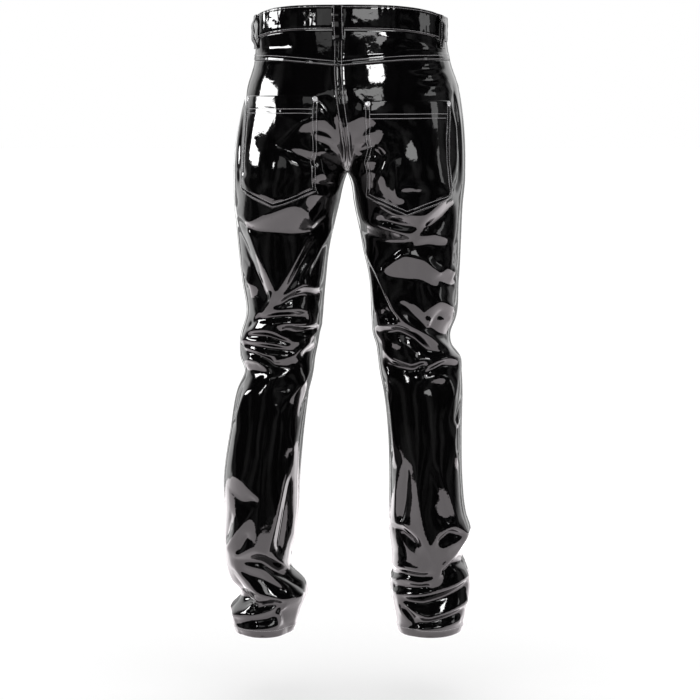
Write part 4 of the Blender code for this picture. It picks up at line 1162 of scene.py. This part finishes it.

# --------------------------------------------------------------------------------- the rivets and button
# Turned metal: a domed burr rivet, pressed into the cloth at each corner of the back pockets' mouths, and a
# shank button that closes the waistband at the front. The metal's pale, half-diffuse colour is painted
# highlight.
Turn = namedtuple("Turn", "radius height")
RIVET = [
    Turn(0.0001, 0.0021),
    Turn(0.0008, 0.0020),
    Turn(0.0011, 0.0014),
    Turn(0.0016, 0.0013),
    Turn(0.0024, 0.0017),
    Turn(0.0034, 0.0015),
    Turn(0.0041, 0.0009),
    Turn(0.0042, 0.0003),
    Turn(0.0040, 0.0),
]
BUTTON = [
    Turn(0.0001, 0.0036),
    Turn(0.0040, 0.0036),
    Turn(0.0052, 0.0034),
    Turn(0.0058, 0.0038),
    Turn(0.0070, 0.0042),
    Turn(0.0080, 0.0039),
    Turn(0.0085, 0.0032),
    Turn(0.0082, 0.0024),
    Turn(0.0046, 0.0020),
    Turn(0.0045, 0.0),
]
TURNED_SIDES = 32
SUNK = 0.0002
RIVET_IN, RIVET_DOWN = 0.006, 0.005
BUTTON_U = 0.030
# Pale grey and only half metallic: the diffuse share is painted highlight, for the glint on each rivet.
highlight_painted_metal_face, metal_tree, metal_shader = new_material("metal_painted_highlight", (0.64, 0.64, 0.65), 0.45)
metal_place = metal_tree.node("ShaderNodeTexCoord", output="Object")
metal_rough = noise(metal_tree, metal_place, 900.0, Detail=3.0) * 0.25 + 0.12
highlight_painted_metal_face.node_tree.links.new(metal_rough.socket, metal_shader.inputs["Roughness"])


def add_turned(name, profile, centre, normal, node):
    """A turned piece: a profile of radii and heights spun round the normal at centre."""
    angle = np.linspace(0, 2 * pi, TURNED_SIDES, endpoint=False)[None, :]
    radius = np.array([row.radius for row in profile])[:, None]
    height = np.array([row.height for row in profile])[:, None] + 0 * angle
    local = np.stack([radius * np.cos(angle), radius * np.sin(angle), height], axis=-1)
    turn = np.array(Vector(normal).to_track_quat("Z", "Y").to_matrix())
    piece = add_tube(name, local @ turn.T + centre, highlight_painted_metal_face, flip=True)
    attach(piece, BODY)
    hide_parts(node)


for _, hand in HALVES:
    points, normals = pocket_grids[hand]
    for place, last in (("inner", False), ("outer", True)):
        gap = np.abs(reach(points, 1, last) - RIVET_IN) + np.abs(reach(points, 0) - RIVET_DOWN)
        i, j = np.unravel_index(np.argmin(gap), gap.shape)
        seat_at = points[i, j] - normals[i, j] * SUNK
        add_turned(f"burr_{place}_{hand}", RIVET, seat_at, normals[i, j], f"rivet_{place}_{hand}")
button_lift = np.array(BAND_PROUD + SEAM_GAP)
button_at, button_out = on_cloth(1, np.array(BUTTON_U), np.array(-BAND_HEIGHT / 2), button_lift)
add_turned("shank_button", BUTTON, button_at, button_out, "waist_button")

# -------------------------------------------------------------------------------------- stage and camera
# A pale floor, soft lights and bright walls that the cloth mirrors, and the camera behind the trousers at
# hip height. To the cloth the room is dark except in front of the trousers, where it is a white backdrop
# with dark gaps.
FLOOR_LEVEL, FLOOR_REACH = -1.12, 40
floor_mesh = bpy.data.meshes.new("floor")
floor_corners = [(-1, -1), (1, -1), (1, 1), (-1, 1)]
floor_points = [(FLOOR_REACH * x, FLOOR_REACH * y, FLOOR_LEVEL) for x, y in floor_corners]
floor_mesh.from_pydata(floor_points, [], [(0, 1, 2, 3)])
floor = bpy.data.objects.new("floor", floor_mesh)
bpy.context.scene.collection.objects.link(floor)
floor_face, _, floor_shader = new_material("pale_floor", (0.9, 0.9, 0.9))
floor_shader.inputs["Roughness"].default_value = 0.7
floor_shader.inputs["Specular IOR Level"].default_value = 0.0
floor_shader.inputs["Emission Color"].default_value = (1, 1, 1, 1)
floor_shader.inputs["Emission Strength"].default_value = 0.16
floor_mesh.materials.append(floor_face)
floor.visible_glossy = False


def add_light(name, place, aim, width, height, radiance):
    """A soft light of one even radiance, which the glossy cloth mirrors."""
    lamp = bpy.data.lights.new(name, "AREA")
    lamp.shape = "RECTANGLE"
    lamp.size, lamp.size_y = width, height
    lamp.energy = radiance * pi * width * height
    light = bpy.data.objects.new(name, lamp)
    light.location = place
    light.rotation_euler = (Vector(aim) - Vector(place)).to_track_quat("-Z", "Y").to_euler()
    light.visible_diffuse = False
    light.visible_camera = False
    bpy.context.scene.collection.objects.link(light)
    return light


add_light("softbox_left", (2.53, 0.05, 0.47), (0.13, 0.1, -0.15), 1.25, 0.6, 22)
add_light("softbox_right", (-2.4, 0.5, 0.1), (0, 0, -0.3), 0.35, 0.9, 1.8)
add_light("window_high", (-1.2, 2.66, 1.475), (0, 0, -0.1), 0.72, 0.29, 24)
add_light("window_side", (1.75, 2.2, 0.45), (0, 0, -0.5), 0.16, 0.22, 22)
add_light("wall_right", (-0.86, 2.9, 0.84), (0, 0, -0.05), 1.25, 0.56, 4.2)
add_light("wall_left", (0.95, 2.9, 0.80), (0, 0, -0.05), 1.25, 0.8, 0.8)
floor_glow = add_light("floor_glow", (0, -0.25, -1.11), (0, -0.25, 1), 4.0, 2.5, 2.4)
floor_glow.data.color = (1.0, 0.93, 0.96)

world = bpy.data.worlds.new("studio")
bpy.context.scene.world = world
world.use_nodes = True
air = Shade(world.node_tree)
mirrored = air.node("ShaderNodeLightPath", output="Is Glossy Ray")
toward = air.node("ShaderNodeTexCoord", output="Generated")
depth_part = air.node("ShaderNodeSeparateXYZ", {}, {0: toward}, "Y")
backdrop = air.node(
    "ShaderNodeMapRange",
    {"interpolation_type": "SMOOTHSTEP"},
    {"Value": depth_part, "From Min": -0.35, "From Max": -0.62, "To Min": 0.012, "To Max": 1.7},
)
haze = noise(air, toward, 2.6, Detail=2.0)
haze_range = {"From Min": 0.48, "From Max": 0.72, "To Max": 0.2}
room = air.node("ShaderNodeMapRange", {}, {"Value": haze, **haze_range})
stretched = air.node("ShaderNodeMapping", {}, {"Vector": toward, "Scale": (5.0, 0.5, 1.0)})
streaks = noise(air, stretched, 1.0, Detail=1.0)
gap_range = {"From Min": 0.44, "From Max": 0.54, "To Min": 0.2}
panes = air.node("ShaderNodeMapRange", {}, {"Value": streaks, **gap_range})
brightness = (1 - mirrored) + mirrored * (backdrop * panes + room)
background = world.node_tree.nodes["Background"]
world.node_tree.links.new(brightness.socket, background.inputs["Strength"])
background.inputs["Color"].default_value = (1, 1, 1, 1)

SENSOR, FOCAL_PIXELS, PICTURE_PIXELS = 36, 2064, 700
CAMERA_PLACE, CAMERA_DIP = (-0.004, 3.4, -0.12), 6.88
camera_data = bpy.data.cameras.new("camera")
camera_data.sensor_width = SENSOR
camera_data.lens = SENSOR * FOCAL_PIXELS / PICTURE_PIXELS
camera = bpy.data.objects.new("camera", camera_data)
camera.location = CAMERA_PLACE
camera.rotation_euler = (radians(90 - CAMERA_DIP), 0, radians(180))
bpy.context.scene.collection.objects.link(camera)
bpy.context.scene.camera = camera
bpy.context.scene.view_settings.view_transform = "Standard"
